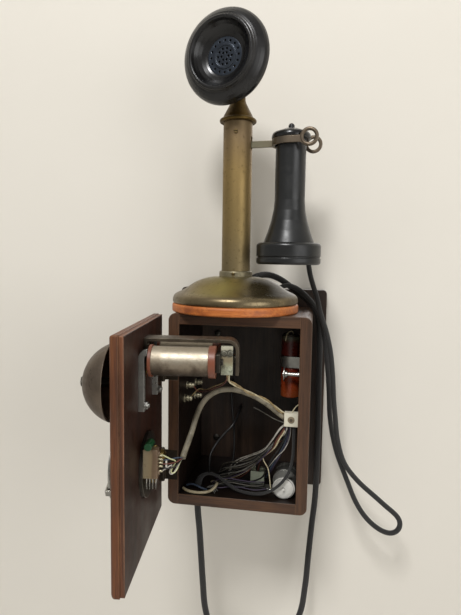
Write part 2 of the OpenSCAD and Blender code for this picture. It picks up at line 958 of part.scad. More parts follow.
module armature() {
    color("#6b6a66")
        on_door()
        translate([mid_s, 0, coil_z])
        difference() {
            union() {
                block(-24, 24, 2.9, 5.1, -5, 4);
                translate([0, 4, -5])
                    cylinder(r = 3.2, h = 9);
                block(-3, 3, 5, 9.4, -3, 3);
                block(-3, 3, 7.6, 9.4, gong_z - coil_z - 4, 3);
            }
            translate([0, 4, -20])
                cylinder(r = 1.56, h = 40);
        }
}

module clapper() {
    ball = rim_h - 2;
    color("#8e7d4e")
        on_door()
        translate([mid_s, 0, gong_z]) {
            rod_y(1.5, ball, 7.6);
            translate([0, ball, 0])
                sphere(clapper_r);
        }
}

// Dial

module on_dial() {
    on_door()
        translate([mid_s, 0, dial_z])
        children();
}

module dial_case() {
    color("#8f8d86")
        on_dial()
        difference() {
            union() {
                rod_y(dial_r, flange_h, door_out);
                rod_y(30.5, flange_h, 3);
            }
            rod_y(28.7, flange_h - 1, 1.2);
            rod_y(3.06, 0, 5);
            translate([-gear_dist, 0, 0])
                rod_y(1.56, 0, 5);
        }
}

module number_plate() {
    color("#dcd8cc")
        on_dial()
        slab_y(flange_h - 1, flange_h)
        difference() {
            circle(dial_r - 0.8);
            circle(4);
        }
}

module finger_stop() {
    x0 = wheel_r + 0.7;
    color("#b4b3ad")
        on_dial()
        rotate([0, 22, 0])
        translate([0, 0, -3])
        linear_extrude(6)
        polygon([[x0, flange_h - 1], [x0 + 1.3, flange_h - 1], [x0 + 1.3, wheel_front - 2.6],
            [x0 - 9, wheel_front - 2.6], [x0 - 9, wheel_front - 1.2], [x0, wheel_front - 1.2]]);
}

module finger_wheel() {
    color("#b9b8b3")
        on_dial()
        slab_y(wheel_front, wheel_front + wheel_t)
        difference() {
            circle(wheel_r);
            circle(3.02);
            for (i = [0:9]) {
                rotate(32 + 30 * i)
                    translate([finger_ring_r, 0])
                    circle(finger_r);
            }
        }
}

module wheel_cap() {
    color("#c9c8c2")
        on_dial()
        turned(wheel_front)
        polygon(concat(
            [[0, 0], [12.5, 0], [12.5, 0.8]],
            arc(10.8, 0.8, 1.7, 0, 90, 4),
            [[0, 2.9]]));
}

module dial_shaft() {
    color("#a89355")
        on_dial() {
            rod_y(3, wheel_front, 9.6);
            rod_y(4.4, wheel_front + wheel_t, flange_h - 1.3);
            slab_y(6.4, 8.4)
                polygon(gear_points(main_teeth, gear_module, 0.3));
            rod_y(5.2, 8.3, 9.2);
        }
}

module governor() {
    color("#a89355")
        on_dial()
        translate([-gear_dist, 0, 0]) {
            rod_y(1.5, 1.3, 13);
            slab_y(6.4, 8.4)
                rotate(180 / governor_teeth)
                polygon(gear_points(governor_teeth, gear_module, 1));
            rod_y(6.2, 9.6, 13);
            block(-5.4, 5.4, 13, 14.2, -1.6, 1.6);
        }
}

module contact_block() {
    color("#d3c9a8")
        on_dial() {
            block(19, 28, 3, 16, -2.5, 24);
            translate([23.5, 0, 19.5])
                rod_y(2, 15, 17.4);
            translate([23.5, 0, 2])
                rod_y(2, 15, 17.4);
        }
}

module contact_springs() {
    color("#c4c3bd")
        on_dial()
        for (y = [5.6, 8.4, 11.2, 14]) {
            block(20.5, 26.5, y, y + 0.6, -13, -2.5);
            translate([23.5, 0, -10.5])
                rod_y(1.3, y - 0.7, y + 0.1);
        }
}

module spark_capsule() {
    color("#4f6b45")
        on_dial()
        translate([0, 8, 27.6])
        rod_x(3.5, 17, 31);
}

// Hook, receiver and transmitter

module switch_hook() {
    low = hook_z - band_h / 2;
    color("#5e5130")
        on_stand(hook_turn)
        difference() {
            union() {
                slab_y(-1.6, 1.6)
                    union() {
                        translate([-6, low])
                            square([reach - fork_half - 1.2 + 6, band_h]);
                        translate([0, hook_z])
                            circle(5);
                    }
                translate([reach, 0, low])
                    linear_extrude(band_h)
                    difference() {
                        union() {
                            circle(fork_half + band_t);
                            translate([0, -fork_half - band_t])
                                square([13, 2 * (fork_half + band_t)]);
                        }
                        circle(fork_half);
                        translate([0, -fork_half])
                            square([60, 2 * fork_half]);
                    }
                for (y = [-fork_half - band_t - 0.2, fork_half - 0.2]) {
                    slab_y(y, y + band_t + 0.4)
                        difference() {
                            union() {
                                translate([reach + 22, hook_z + 1.8])
                                    circle(eyelet_r);
                                polygon([[reach + 11.9, hook_z - 3.2], [reach + 18, hook_z + 2.7 - eyelet_r],
                                    [reach + 18, hook_z + 0.9 + eyelet_r], [reach + 11.9, hook_z + 3.2]]);
                            }
                            translate([reach + 22, hook_z + 1.8])
                                circle(eyelet_hole_r);
                        }
                }
            }
            translate([0, 0, hook_z])
                rod_y(2.06, -10, 10);
        }
}

module on_receiver() {
    on_stand(hook_turn)
        translate([reach, 0, 0])
        children();
}

module receiver_shell() {
    top = hook_z + band_h / 2 + 0.1;
    color("#191817")
        on_receiver() {
            rotate_extrude()
                polygon([[receiver_r, top], [receiver_r, 232], [17.6, 221], [19.9, 210], [23.2, 199], [28, 186.1],
                    [25, 186.1], [20.2, 199], [17.1, 210], [15, 221], [13.6, 232], [13.6, top]]);
            rotate([0, 0, 70])
                translate([0, 0, 194])
                rod_x(4.2, 20.8, 33);
        }
}

module ear_cap() {
    low = 162.3;
    color("#1d1c1b")
        on_receiver()
        rotate_extrude()
        polygon(concat(
            [[0, low + 5.2], [7, low + 5.2], [7, low + 3.4], [14, low + 3], [22, low + 1.6], [ear_r - 6, low]],
            arc(ear_r - 3, low + 3, 3, -80, 0, 5),
            [[ear_r, low + 6.6], [ear_r - 1, low + 7.2], [ear_r - 1, low + 8.4], [ear_r, low + 9]],
            arc(ear_r - 4, 182, 4, 0, 90, 6),
            [[24.6, 186], [24.6, 183.5], [ear_r - 4, 180], [ear_r - 4, low + 8], [0, low + 8]]));
}

module receiver_top() {
    low = hook_z + band_h / 2 + 0.1;
    color("#1d1c1b")
        on_receiver()
        rotate_extrude()
        polygon(concat(
            [[0, low], [flange_r - 0.8, low], [flange_r, low + 0.8]],
            arc(flange_r - 5, low + 2.6, 5, 0, 60, 5),
            [[13, low + 9], [8, low + 11], [3.4, low + 12]],
            arc(0, low + 14, 3.4, -20, 90, 6)));
}

module on_face() {
    on_stand(face_turn)
        translate([0, 0, face_z])
        children();
}

module transmitter_back() {
    low = tilt_z - face_z;
    color("#4c4526")
        on_face() {
            turned(0)
                polygon([[0, 12], [27, 12.2], [35, 14.6], [41.5, 19.6], [45.6, 26], [46.8, face_d - 0.1],
                    [44.8, face_d - 0.1], [43.6, 26.8], [39.9, 21], [34, 16.5], [26.6, 14.2], [0, 14]]);
            difference() {
                slab_x(-2.6, 2.6)
                    union() {
                        translate([0, low])
                            circle(5.6);
                        translate([-12.4, low - 5.6])
                            square([12.4, 11.2]);
                    }
                translate([0, 0, low])
                    rod_x(tilt_bolt_r + 0.05, -10, 10);
            }
        }
}

module mouthpiece() {
    d = face_d;
    color("#1a1919")
        on_face()
        turned(0)
        polygon([[face_r, d], [face_r, d + 1.5], [face_r - 0.6, d + 4.5], [face_r - 2.2, d + 7.5],
            [face_r - 5, d + 10.2], [40.6, d + 12.4], [38.6, d + 13.4], [38.4, d + 14.3], [37.4, d + 14.7],
            [36.9, d + 16.2], [35.7, d + 17], [34.2, d + 17], [33.2, d + 16.4], [31.6, d + 13.5],
            [29.2, d + 10.4], [25.6, d + 7.4], [21.8, d + 5.2], [19.6, d + 4.2], [19.6, d + 2.1],
            [22.5, d + 2.3], [27, d + 4.4], [31.5, d + 7.6], [35, d + 11], [38, d + 10.8],
            [face_r - 6.5, d + 7.4], [face_r - 3.6, d + 4.4], [face_r - 2.6, d]]);
}

module grille() {
    color("#242322")
        on_face()
        difference() {
            union() {
                rod_y(19.5, -face_d - 3.8, -face_d - 2.2);
                turned(-face_d - 3.7)
                    polygon([[10.2, 0], [13.2, 0], [12.6, 1], [10.8, 1]]);
            }
            for (ring = [[4, 6], [8, 10], [16, 16]]) {
                for (i = [0:ring[1] - 1]) {
                    rotate([0, 360 * i / ring[1], 0])
                        translate([ring[0], 0, 0])
                        rod_y(1.25, -face_d - 8, 0);
                }
            }
        }
}

back_board();
case_left();
case_right();
case_top();
case_bottom();
case_hinges();
wooden_ring();
stand_screws();
stand_base();
column_collar();
column_tube();
column_cap();
tilt_bolt();
hook_pin();
cord_bushes();
induction_coil();
clamp_straps();
capacitor();
tie_mount();
terminal_block();
wall_terminals();
stand_cord();
receiver_cord();
dial_cable();
ringer_wires();
case_wiring();
door_panel();
door_backing();
door_hinges();
left_gong();
right_gong();
gong_posts();
gong_brackets();
ringer_bracket();
ringer_coils();
coil_cheeks();
ringer_yoke();
terminal_plate();
armature_pivot();
dial_case();
number_plate();
finger_stop();
contact_block();
contact_springs();
spark_capsule();
armature();
clapper();
finger_wheel();
wheel_cap();
dial_shaft();
governor();
switch_hook();
receiver_shell();
ear_cap();
receiver_top();
transmitter_back();
mouthpiece();
grille();
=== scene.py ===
import bpy
import numpy as np
from mathutils import Matrix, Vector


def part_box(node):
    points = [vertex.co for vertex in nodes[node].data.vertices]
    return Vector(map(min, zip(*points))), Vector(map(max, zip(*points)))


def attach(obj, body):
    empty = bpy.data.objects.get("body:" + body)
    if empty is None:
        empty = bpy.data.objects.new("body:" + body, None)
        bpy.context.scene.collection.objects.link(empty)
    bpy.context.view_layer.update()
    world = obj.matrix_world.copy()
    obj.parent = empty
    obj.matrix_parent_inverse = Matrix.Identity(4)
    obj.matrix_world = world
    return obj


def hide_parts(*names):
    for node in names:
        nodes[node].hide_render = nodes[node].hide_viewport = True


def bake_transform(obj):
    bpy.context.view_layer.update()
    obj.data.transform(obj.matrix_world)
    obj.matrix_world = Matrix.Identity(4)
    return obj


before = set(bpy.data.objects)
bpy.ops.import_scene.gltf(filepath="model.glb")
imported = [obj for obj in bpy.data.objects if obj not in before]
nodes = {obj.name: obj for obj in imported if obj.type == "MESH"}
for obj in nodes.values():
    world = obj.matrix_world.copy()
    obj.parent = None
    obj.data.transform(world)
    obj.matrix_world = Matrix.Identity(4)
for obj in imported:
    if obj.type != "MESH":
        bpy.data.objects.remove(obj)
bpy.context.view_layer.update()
print("frame loaded with", len(nodes), "nodes")

perMetre = 1000                                       # routes and profiles are written in millimetres
fullTurn = 2 * np.pi
standFoot = (-11, -84.9)                              # axis of the stand
doorHang = {"pin": (-83.5, -129.25), "open": 83.7}    # axis of the hinges and angle at rest

# camera, fitted to the corners of the box and the door

cameraView = {
    "place": (0.0800, -0.6635, 0.1681),
    "yaw": -9.47, "pitch": 5.49, "roll": 0.88,   # degrees
    "focal": 510.3, "tall": 615,                 # pixels
    "sensor": 36, "near": 0.01,                  # millimetres and metres
}


def aimed(right, up, back, place):
    # turn and place of the camera or a lamp as one matrix
    turn = np.eye(4)
    turn[:3] = np.column_stack([right, up, back, place])
    return Matrix(turn.tolist())


def makeCamera(c):
    yaw, pitch, roll = np.radians([c["yaw"], c["pitch"], c["roll"]])
    ahead = np.array([np.sin(yaw) * np.cos(pitch), np.cos(yaw) * np.cos(pitch), -np.sin(pitch)])
    level = np.array([np.cos(yaw), -np.sin(yaw), 0])
    rise = np.cross(level, ahead)
    right = np.cos(roll) * level + np.sin(roll) * rise
    up = np.cos(roll) * rise - np.sin(roll) * level
    lens = bpy.data.cameras.new("camera")
    lens.sensor_width = c["sensor"]
    lens.lens = c["sensor"] * c["focal"] / c["tall"]
    lens.clip_start = c["near"]
    cam = bpy.data.objects.new("camera", lens)
    cam.matrix_world = aimed(right, up, -ahead, c["place"])
    bpy.context.scene.collection.objects.link(cam)
    bpy.context.scene.camera = cam


makeCamera(cameraView)
print("camera placed")

# mesh helpers


def gridFaces(rows, cols):
    # four corners of each cell of a grid whose columns close on themselves
    i, j = np.meshgrid(np.arange(rows - 1), np.arange(cols), indexing="ij")
    k = (j + 1) % cols
    corners = [i * cols + j, i * cols + k, (i + 1) * cols + k, (i + 1) * cols + j]
    return np.stack(corners, -1).reshape(-1, 4)


def ringFaces(rows, cols):
    # the same where the rows close on themselves too
    return gridFaces(rows + 1, cols) % (rows * cols)


def makeMesh(name, points, faces, finish, body=None, uv=None, smooth=True):
    mesh = bpy.data.meshes.new(name)
    mesh.from_pydata(np.asarray(points, float).reshape(-1, 3).tolist(), [], [list(f) for f in faces])
    if uv is not None:
        layer = mesh.uv_layers.new(name="along")
        layer.data.foreach_set("uv", np.asarray(uv, np.float32).ravel())
    mesh.polygons.foreach_set("use_smooth", np.full(len(mesh.polygons), smooth))
    mesh.materials.append(finish)
    mesh.update()
    piece = bpy.data.objects.new(name, mesh)
    bpy.context.scene.collection.objects.link(piece)
    if body:
        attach(piece, body)
    return piece


def spans(line):
    # distance from each point of a line to the next
    return np.linalg.norm(np.diff(line, axis=0), axis=1)


def smoothLine(route, step, ease=0, cuts=24):
    # cubic curve through the route's points, its slope at each point weighed by the two spans, cut into
    # equal steps; each round of easing then moves every step towards the mean of its neighbours
    p = np.asarray(route, float) / perMetre
    h = spans(p)
    v = np.diff(p, axis=0) / h[:, None]
    within = (v[:-1] * h[1:, None] + v[1:] * h[:-1, None]) / (h[1:] + h[:-1])[:, None]
    slope = np.vstack([v[:1], within, v[-1:]])
    t = np.linspace(0, 1, cuts, endpoint=False)[None, :, None]
    a, b = p[:-1, None], p[1:, None]
    ma, mb = slope[:-1, None] * h[:, None, None], slope[1:, None] * h[:, None, None]
    curve = (2 * t**3 - 3 * t**2 + 1) * a + (t**3 - 2 * t**2 + t) * ma
    curve = curve + (3 * t**2 - 2 * t**3) * b + (t**3 - t**2) * mb
    curve = np.vstack([curve.reshape(-1, 3), p[-1:]])
    far = np.concatenate([[0], np.cumsum(spans(curve))])
    want = np.linspace(0, far[-1], max(3, int(far[-1] / step) + 1))
    line = np.stack([np.interp(want, far, curve[:, k]) for k in range(3)], -1)
    for _ in range(ease):
        line[1:-1] = (line[:-2] + 2 * line[1:-1] + line[2:]) / 4
    return line


def layLine(c, route):
    return smoothLine(route, c["step"], c["ease"])


def carrySides(line):
    # two side vectors at each station, carried along the line without twisting; the first one starts from x,
    # or from z where the line sets out along x
    ahead = np.gradient(line, axis=0)
    ahead /= np.linalg.norm(ahead, axis=1)[:, None]
    side = np.array([1.0, 0, 0]) if abs(ahead[0, 0]) < 0.8 else np.array([0, 0, 1.0])
    sides = []
    for t in ahead:
        side = side - t * (side @ t)
        side = side / np.linalg.norm(side)
        sides.append(side)
    first = np.array(sides)
    return first, np.cross(ahead, first)


def makeTube(name, line, radius, finish, around, body=None):
    # circle of the given radius carried along the line and closed by a fan at each end; u runs round it and
    # v along it in turns of its girth
    n = len(line)
    one, two = carrySides(line)
    turn = np.linspace(0, fullTurn, around, endpoint=False)
    wide = np.broadcast_to(np.asarray(radius, float), (n,))[:, None, None]
    ring = one[:, None] * np.cos(turn)[None, :, None] + two[:, None] * np.sin(turn)[None, :, None]
    points = np.vstack([(line[:, None] + wide * ring).reshape(-1, 3), line[:1], line[-1:]])
    j = np.arange(around)
    k = (j + 1) % around
    tip = n * around                  # middle of the first end, followed by that of the last
    low = np.stack([np.full(around, tip), k, j], -1)
    high = np.stack([np.full(around, tip + 1), tip - around + j, tip - around + k], -1)
    far = np.concatenate([[0], np.cumsum(spans(line))])
    v = far / (fullTurn * np.mean(wide))
    i, c = np.meshgrid(np.arange(n - 1), j, indexing="ij")
    u0, u1 = c / around, (c + 1) / around
    wallUv = np.stack([u0, v[i], u1, v[i], u1, v[i + 1], u0, v[i + 1]], -1).reshape(-1, 2)
    fanUv = np.zeros((low.size + high.size, 2))
    faces = [*gridFaces(n, around), *low, *high]
    return makeMesh(name, points, faces, finish, body, np.vstack([wallUv, fanUv]))


# material helpers


def tone(code):
    # written colour to the linear values that the shader takes
    c = np.array([int(code[i:i + 2], 16) for i in (1, 3, 5)]) / 255
    c = np.where(c <= 0.04045, c / 12.92, ((c + 0.055) / 1.055) ** 2.4)
    return (*c.tolist(), 1.0)


def plug(tree, socket, value):
    # a link where the value comes from a node, or else a fixed value on the socket
    if isinstance(value, bpy.types.NodeSocket):
        tree.links.new(value, socket)
    else:
        socket.default_value = value


def put(tree, kind, feeds=None, **settings):
    made = tree.nodes.new("ShaderNode" + kind)
    for key, value in settings.items():
        setattr(made, key, value)
    for key, value in (feeds or {}).items():
        plug(tree, made.inputs[key], value)
    return made


def newFinish(name):
    finish = bpy.data.materials.new(name)
    finish.use_nodes = True
    tree = finish.node_tree
    tree.nodes.clear()
    shader = put(tree, "BsdfPrincipled")
    out = put(tree, "OutputMaterial")
    tree.links.new(shader.outputs[0], out.inputs[0])
    where = put(tree, "TexCoord").outputs["Object"]
    return finish, tree, shader, where


def noise(tree, where, scale, detail=4.0, rough=0.55, stretch=(1, 1, 1), shift=(0, 0, 0), bend=0.0):
    moved = put(tree, "Mapping", {"Vector": where, "Scale": stretch, "Location": shift}).outputs[0]
    feeds = {"Vector": moved, "Scale": scale, "Detail": detail, "Roughness": rough, "Distortion": bend}
    return put(tree, "TexNoise", feeds).outputs[0]


def ramp(tree, level, stops):
    # colours along a level; each stop is a place and a colour code
    made = put(tree, "ValToRGB", {"Fac": level})
    spots = made.color_ramp.elements
    spots[0].position = stops[0][0]
    spots[-1].position = stops[-1][0]
    for place, _ in stops[1:-1]:
        spots.new(place)
    for spot, (place, code) in zip(spots, stops):
        spot.position = place
        spot.color = tone(code)
    return made.outputs[0]


def band(tree, level, low, high, first=0.0, last=1.0):
    # smooth step of a level between low and high, given out from the first value to the last
    feeds = {"Value": level, "From Min": low, "From Max": high, "To Min": first, "To Max": last}
    return put(tree, "MapRange", feeds, interpolation_type="SMOOTHSTEP").outputs[0]


def sums(tree, kind, a, b):
    return put(tree, "Math", {0: a, 1: b}, operation=kind).outputs[0]


def dot(tree, a, b):
    return put(tree, "VectorMath", {0: a, 1: b}, operation="DOT_PRODUCT").outputs["Value"]


def mix(tree, share, a, b, how="MIX"):
    made = put(tree, "Mix", data_type="RGBA", blend_type=how)
    for key, value in ((0, share), (6, a), (7, b)):
        plug(tree, made.inputs[key], tone(value) if isinstance(value, str) else value)
    return made.outputs[2]


def facing(tree, way, low, high):
    # 1 where the surface faces the given way, falling to 0 as it turns aside
    return band(tree, dot(tree, put(tree, "TexCoord").outputs["Normal"], way), low, high)


def edgeWear(tree, radius, low=0.02, high=0.25):
    # how far a rounded-over normal leans from the face's own: 0 on flats, 1 on corners
    soft = put(tree, "Bevel", {"Radius": radius}, samples=4).outputs[0]
    lean = dot(tree, soft, put(tree, "NewGeometry").outputs["Normal"])
    return band(tree, sums(tree, "SUBTRACT", 1.0, lean), low, high), soft


def relief(tree, shader, height, strength, depth, under=None):
    feeds = {"Height": height, "Strength": strength, "Distance": depth}
    if under is not None:
        feeds["Normal"] = under
    tree.links.new(put(tree, "Bump", feeds).outputs[0], shader.inputs["Normal"])


def feed(tree, shader, **feeds):
    for key, value in feeds.items():
        plug(tree, shader.inputs[key.replace("_", " ")], value)


# finishes


def woodFinish(name, grain, deep, body, light, worn, gloss=0.42, pores=0.6, edge=0.0014, wear=0.75,
               figure=70, side=None, paintedShade=None):
    # figure and pores are noises drawn out along the grain; corners are rubbed paler; one side may get
    # painted shade
    finish, tree, shader, where = newFinish(name)
    figureDraw = tuple(0.07 if axis == grain else 1.0 for axis in "xyz")
    poreDraw = tuple(0.03 if axis == grain else 1.0 for axis in "xyz")
    lines = noise(tree, where, figure, detail=6, rough=0.6, stretch=figureDraw, bend=0.7)
    hair = noise(tree, where, scale=900, detail=3, rough=0.6, stretch=poreDraw)
    grime = noise(tree, where, scale=16, detail=6, rough=0.62, shift=(0.3, 0.1, 0.7))
    paint = ramp(tree, lines, [(0.3, deep), (0.5, body), (0.72, light)])
    paint = mix(tree, band(tree, hair, 0.5, 0.38, 0, pores), paint, deep)
    paint = mix(tree, band(tree, grime, 0.5, 0.75, 0, 0.5), paint, deep)
    rub, soft = edgeWear(tree, edge)
    rub = sums(tree, "MULTIPLY", rub, band(tree, grime, 0.3, 0.62, wear, 0.25 * wear))
    paint = mix(tree, rub, paint, worn)
    # painted shade: the side that faces the given way is darkened by the multiplied colour
    if side:
        paint = mix(tree, facing(tree, side, 0.7, 0.97), paint, paintedShade, "MULTIPLY")
    dull = band(tree, grime, 0.3, 0.7, gloss + 0.16, gloss - 0.06)
    feed(tree, shader, Base_Color=paint, Roughness=dull, Specular_IOR_Level=0.4)
    relief(tree, shader, sums(tree, "ADD", hair, lines), strength=0.25, depth=0.0004, under=soft)
    return finish


slotShade = {"inner": 0.0003, "outer": 0.0004, "colour": "#0d0b08"}    # half widths and colour of the painted shade that stands for a screw slot


def metalFinish(name, deep, body, light, worn, metal=0.9, gloss=0.36, cloud=24, spots=0.5, edge=0.0008,
                stretch=(1, 1, 1), brush=0.15, drift=None, slots=(), side=None, cover=None):
    # clouded tarnish with small dark spots, rubbed bright on the corners; the colour may drift along an axis
    # above a floor height, screw slots get painted shade at the given heights, and one side may be painted
    finish, tree, shader, where = newFinish(name)
    haze = noise(tree, where, cloud, detail=8, rough=0.62, stretch=stretch, bend=0.4)
    fleck = noise(tree, where, scale=240, detail=5, rough=0.65)
    fine = noise(tree, where, scale=1400, detail=2, rough=0.5, stretch=stretch)
    axes = put(tree, "SeparateXYZ", {0: where}).outputs
    paint = ramp(tree, haze, [(0.3, deep), (0.5, body), (0.7, light)])
    if drift:
        feeds = {"Value": axes[drift["axis"]], "From Min": drift["low"], "From Max": drift["high"]}
        place = put(tree, "MapRange", feeds).outputs[0]
        place = sums(tree, "ADD", place, band(tree, haze, 0.3, 0.7, -0.07, 0.07))
        share = drift["share"]
        if "floor" in drift:
            share = band(tree, axes[2], drift["floor"], drift["floor"] + drift["fade"], 0, share)
        paint = mix(tree, share, paint, ramp(tree, place, drift["stops"]))
    paint = mix(tree, band(tree, fleck, 0.58, 0.7, 0, spots), paint, deep)
    rub, soft = edgeWear(tree, edge)
    paint = mix(tree, sums(tree, "MULTIPLY", rub, band(tree, haze, 0.35, 0.6, 0.25, 0.8)), paint, worn)
    # painted shade: a dark band at each given height stands for the shade inside a screw slot
    for height in slots:
        off = sums(tree, "ABSOLUTE", sums(tree, "SUBTRACT", axes[2], height), 0.0)
        paint = mix(tree, band(tree, off, slotShade["outer"], slotShade["inner"]), paint, slotShade["colour"])
    if side:
        faced = facing(tree, side, 0.8, 0.95)
        paint = mix(tree, faced, paint, mix(tree, band(tree, haze, 0.4, 0.7), cover, light))
        metal = band(tree, faced, 0, 1, metal, 0.0)
    dull = band(tree, haze, 0.3, 0.7, gloss + 0.14, gloss - 0.06)
    dull = sums(tree, "ADD", dull, band(tree, fleck, 0.5, 0.7, 0, 0.14))
    feed(tree, shader, Base_Color=paint, Metallic=metal, Roughness=dull)
    relief(tree, shader, sums(tree, "ADD", fine, fleck), strength=brush, depth=0.0002, under=soft)
    return finish


def mouldedFinish(name, body, dust, gloss=0.25, edge=0.0009, worn=None, mottle=0.35, spot=None):
    # moulded stock with handling haze, fine dust and slightly rubbed corners; a screw seen from the front is
    # a ring round a darker middle
    finish, tree, shader, where = newFinish(name)
    haze = noise(tree, where, scale=30, detail=7, rough=0.65, shift=(0.2, 0.5, 0.1))
    grit = noise(tree, where, scale=700, detail=3, rough=0.6)
    paint = mix(tree, band(tree, haze, 0.42, 0.75, 0, mottle), body, dust)
    rub, soft = edgeWear(tree, edge)
    if worn:
        paint = mix(tree, sums(tree, "MULTIPLY", rub, 0.6), paint, worn)
    if spot:
        axes = put(tree, "SeparateXYZ", {0: where}).outputs
        level = put(tree, "CombineXYZ", {0: axes[0], 2: axes[2]}).outputs[0]
        middle = (spot["x"], 0, spot["z"])
        far = put(tree, "VectorMath", {0: level, 1: middle}, operation="DISTANCE").outputs["Value"]
        wide = spot["wide"]
        paint = mix(tree, band(tree, far, wide + spot["fade"], wide), paint, spot["ring"])
        paint = mix(tree, band(tree, far, 0.55 * wide, 0.45 * wide), paint, spot["middle"])
    dull = band(tree, haze, 0.35, 0.7, gloss, gloss + 0.18)
    feed(tree, shader, Base_Color=paint, Roughness=dull, Specular_IOR_Level=0.5)
    relief(tree, shader, grit, strength=0.06, depth=0.0002, under=soft)
    return finish


def braidFinish(name, body, light, strands=8.0, pitch=1.3):
    # two sets of threads wound opposite ways round the cord, the higher one on top
    finish, tree, shader, where = newFinish(name)
    parts = put(tree, "SeparateXYZ", {0: put(tree, "UVMap", uv_map="along").outputs[0]}).outputs
    turns = sums(tree, "MULTIPLY", parts[0], strands)
    run = sums(tree, "MULTIPLY", parts[1], strands * pitch)
    threads = []
    for kind in ("ADD", "SUBTRACT"):
        angle = sums(tree, "MULTIPLY", sums(tree, kind, turns, run), fullTurn)
        threads.append(sums(tree, "SINE", angle, 0.0))
    top = sums(tree, "MAXIMUM", *threads)
    fuzz = noise(tree, where, scale=1500, detail=3, rough=0.7)
    wear = noise(tree, where, scale=40, detail=5, rough=0.6)
    # raised threads get the lighter colour as a painted highlight and the gaps between them stay dark as
    # painted shade; worn patches are lighter too
    paint = mix(tree, band(tree, sums(tree, "ADD", top, fuzz), 0.3, 1.6, 0, 0.8), body, light)
    paint = mix(tree, band(tree, wear, 0.5, 0.72, 0, 0.4), paint, light)
    feed(tree, shader, Base_Color=paint, Roughness=0.72, Sheen_Weight=0.15)
    weave = sums(tree, "ADD", top, sums(tree, "MULTIPLY", fuzz, 0.6))
    relief(tree, shader, weave, strength=0.5, depth=0.0005)
    return finish


def sleeveFinish(name, body, dark, gloss=0.4):
    # plain extruded cover, a little dirty and scuffed
    finish, tree, shader, where = newFinish(name)
    dirt = noise(tree, where, scale=120, detail=5, rough=0.6)
    fine = noise(tree, where, scale=900, detail=3, rough=0.6)
    paint = mix(tree, band(tree, dirt, 0.45, 0.7, 0, 0.7), body, dark)
    feed(tree, shader, Base_Color=paint, Roughness=band(tree, dirt, 0.3, 0.7, gloss, gloss + 0.2))
    relief(tree, shader, fine, strength=0.08, depth=0.0002)
    return finish


braid = braidFinish("blackBraid", "#0f0e0d", "#211f1d")
greySleeve = sleeveFinish("greySleeve", "#7a7260", "#4a4436")
tanSleeve = sleeveFinish("tanSleeve", "#a38c62", "#6d5938")
creamSleeve = sleeveFinish("creamSleeve", "#c9bd9c", "#8d7f5c")
beigeSleeve = sleeveFinish("beigeSleeve", "#aca083", "#776b50")
limeSleeve = sleeveFinish("limeSleeve", "#cfd0a0", "#969a62")
redSleeve = sleeveFinish("redSleeve", "#66362b", "#3d201a")
whiteSleeve = sleeveFinish("whiteSleeve", "#bbb6ac", "#7d786e")
silverSleeve = sleeveFinish("silverSleeve", "#7c7a73", "#4b4943", 0.3)
blueSleeve = sleeveFinish("blueSleeve", "#394556", "#222a36")
plumSleeve = sleeveFinish("plumSleeve", "#403648", "#241f2b")
ashSleeve = sleeveFinish("ashSleeve", "#59554c", "#302e28")
blackSleeve = sleeveFinish("blackSleeve", "#171615", "#262421", 0.32)

# cords, which follow the routes of the solids

cordCut = {"step": 0.0022, "ease": 6, "around": 16}
standCord = {
    "route": [
        [10.6, -50.86, 147.47], [11.58, -50.4, 147.98], [14.7, -48.95, 149.1], [18.5, -47.2, 149.6],
        [26, -43.9, 148.6], [34, -40.5, 145.4], [42, -37, 140.6], [52, -32, 132.4],
        [62.4, -29.5, 124.6], [71.8, -28.5, 116.4], [79.8, -26.5, 107.6], [84.6, -24.5, 95.2],
        [86, -23, 80], [87, -22, 55], [87, -21, 25], [87.5, -21, -10], [88, -21, -45], [88, -21, -80],
        [88, -21, -114], [87, -22, -140], [84, -26, -172], [81, -31, -210], [78, -37, -250],
        [72, -43, -285], [58, -52, -308], [36, -64, -318], [10, -77, -316], [-14, -87, -304],
        [-32, -93, -282], [-40, -95, -255], [-43, -97, -220], [-45, -99, -185], [-47, -101, -150],
        [-49, -103, -122], [-49, -103, -97], [-46.8, -103.6, -87.5], [-38.5, -106, -79.8],
        [-27, -109, -79], [-15, -112.5, -85], [-3, -116, -91], [10, -119.5, -92.2],
        [23.5, -122.5, -91.2], [35, -124.4, -87], [45.5, -124.6, -79.5], [54, -124.4, -69],
        [59.6, -121.8, -56], [61.2, -119, -42], [61.2, -118, -26], [61.2, -118, -12.9]],
    "thick": 0.0075, "bare": 0.0034, "bareFrom": 0.817, "bareOver": 0.022,
}
receiverCord = {
    "route": [
        [63.3, -61.15, 194], [63.75, -60.25, 194], [66.49, -54.63, 192.33], [68.49, -50.52, 187.75],
        [69.22, -49.01, 181.5], [69.9, -49.2, 169], [70.8, -50.5, 161], [73, -53, 150], [77, -57, 137],
        [82, -60, 123], [86, -58, 106], [93, -54, 86], [99, -50, 62], [103, -48, 32], [105.5, -47, 0],
        [108, -47, -22], [112, -48, -51], [121, -50, -78], [137, -52, -97], [159, -55, -114.5],
        [172, -57, -124.6], [182, -58.5, -132], [186, -59.2, -136.6], [187.4, -59.8, -142.5],
        [186, -60, -148.4], [182, -60, -153], [176, -59.5, -155.4], [169.5, -58.6, -154.5],
        [157, -56.5, -148.5], [146, -53.5, -139], [135, -48, -123.5], [126, -42, -104],
        [119, -39, -88], [112, -38, -70], [106.5, -37, -50], [102, -36, -25], [100, -35, 5],
        [97, -35, 38], [92.5, -36, 72], [87, -38, 97], [80, -40, 111.5], [71, -41, 122],
        [60.5, -41.8, 131.4], [50.4, -43.6, 136.3], [46.7, -44.65, 137.2], [43, -46, 136.9],
        [39.66, -47.58, 135.49], [37, -49.25, 133.08], [36.45, -49.67, 132.37]],
    "thick": 0.006,
    "still": (0.0356, -0.0359, 0.1565), "lifted": (0.0672, -0.0510, 0.1874),
}


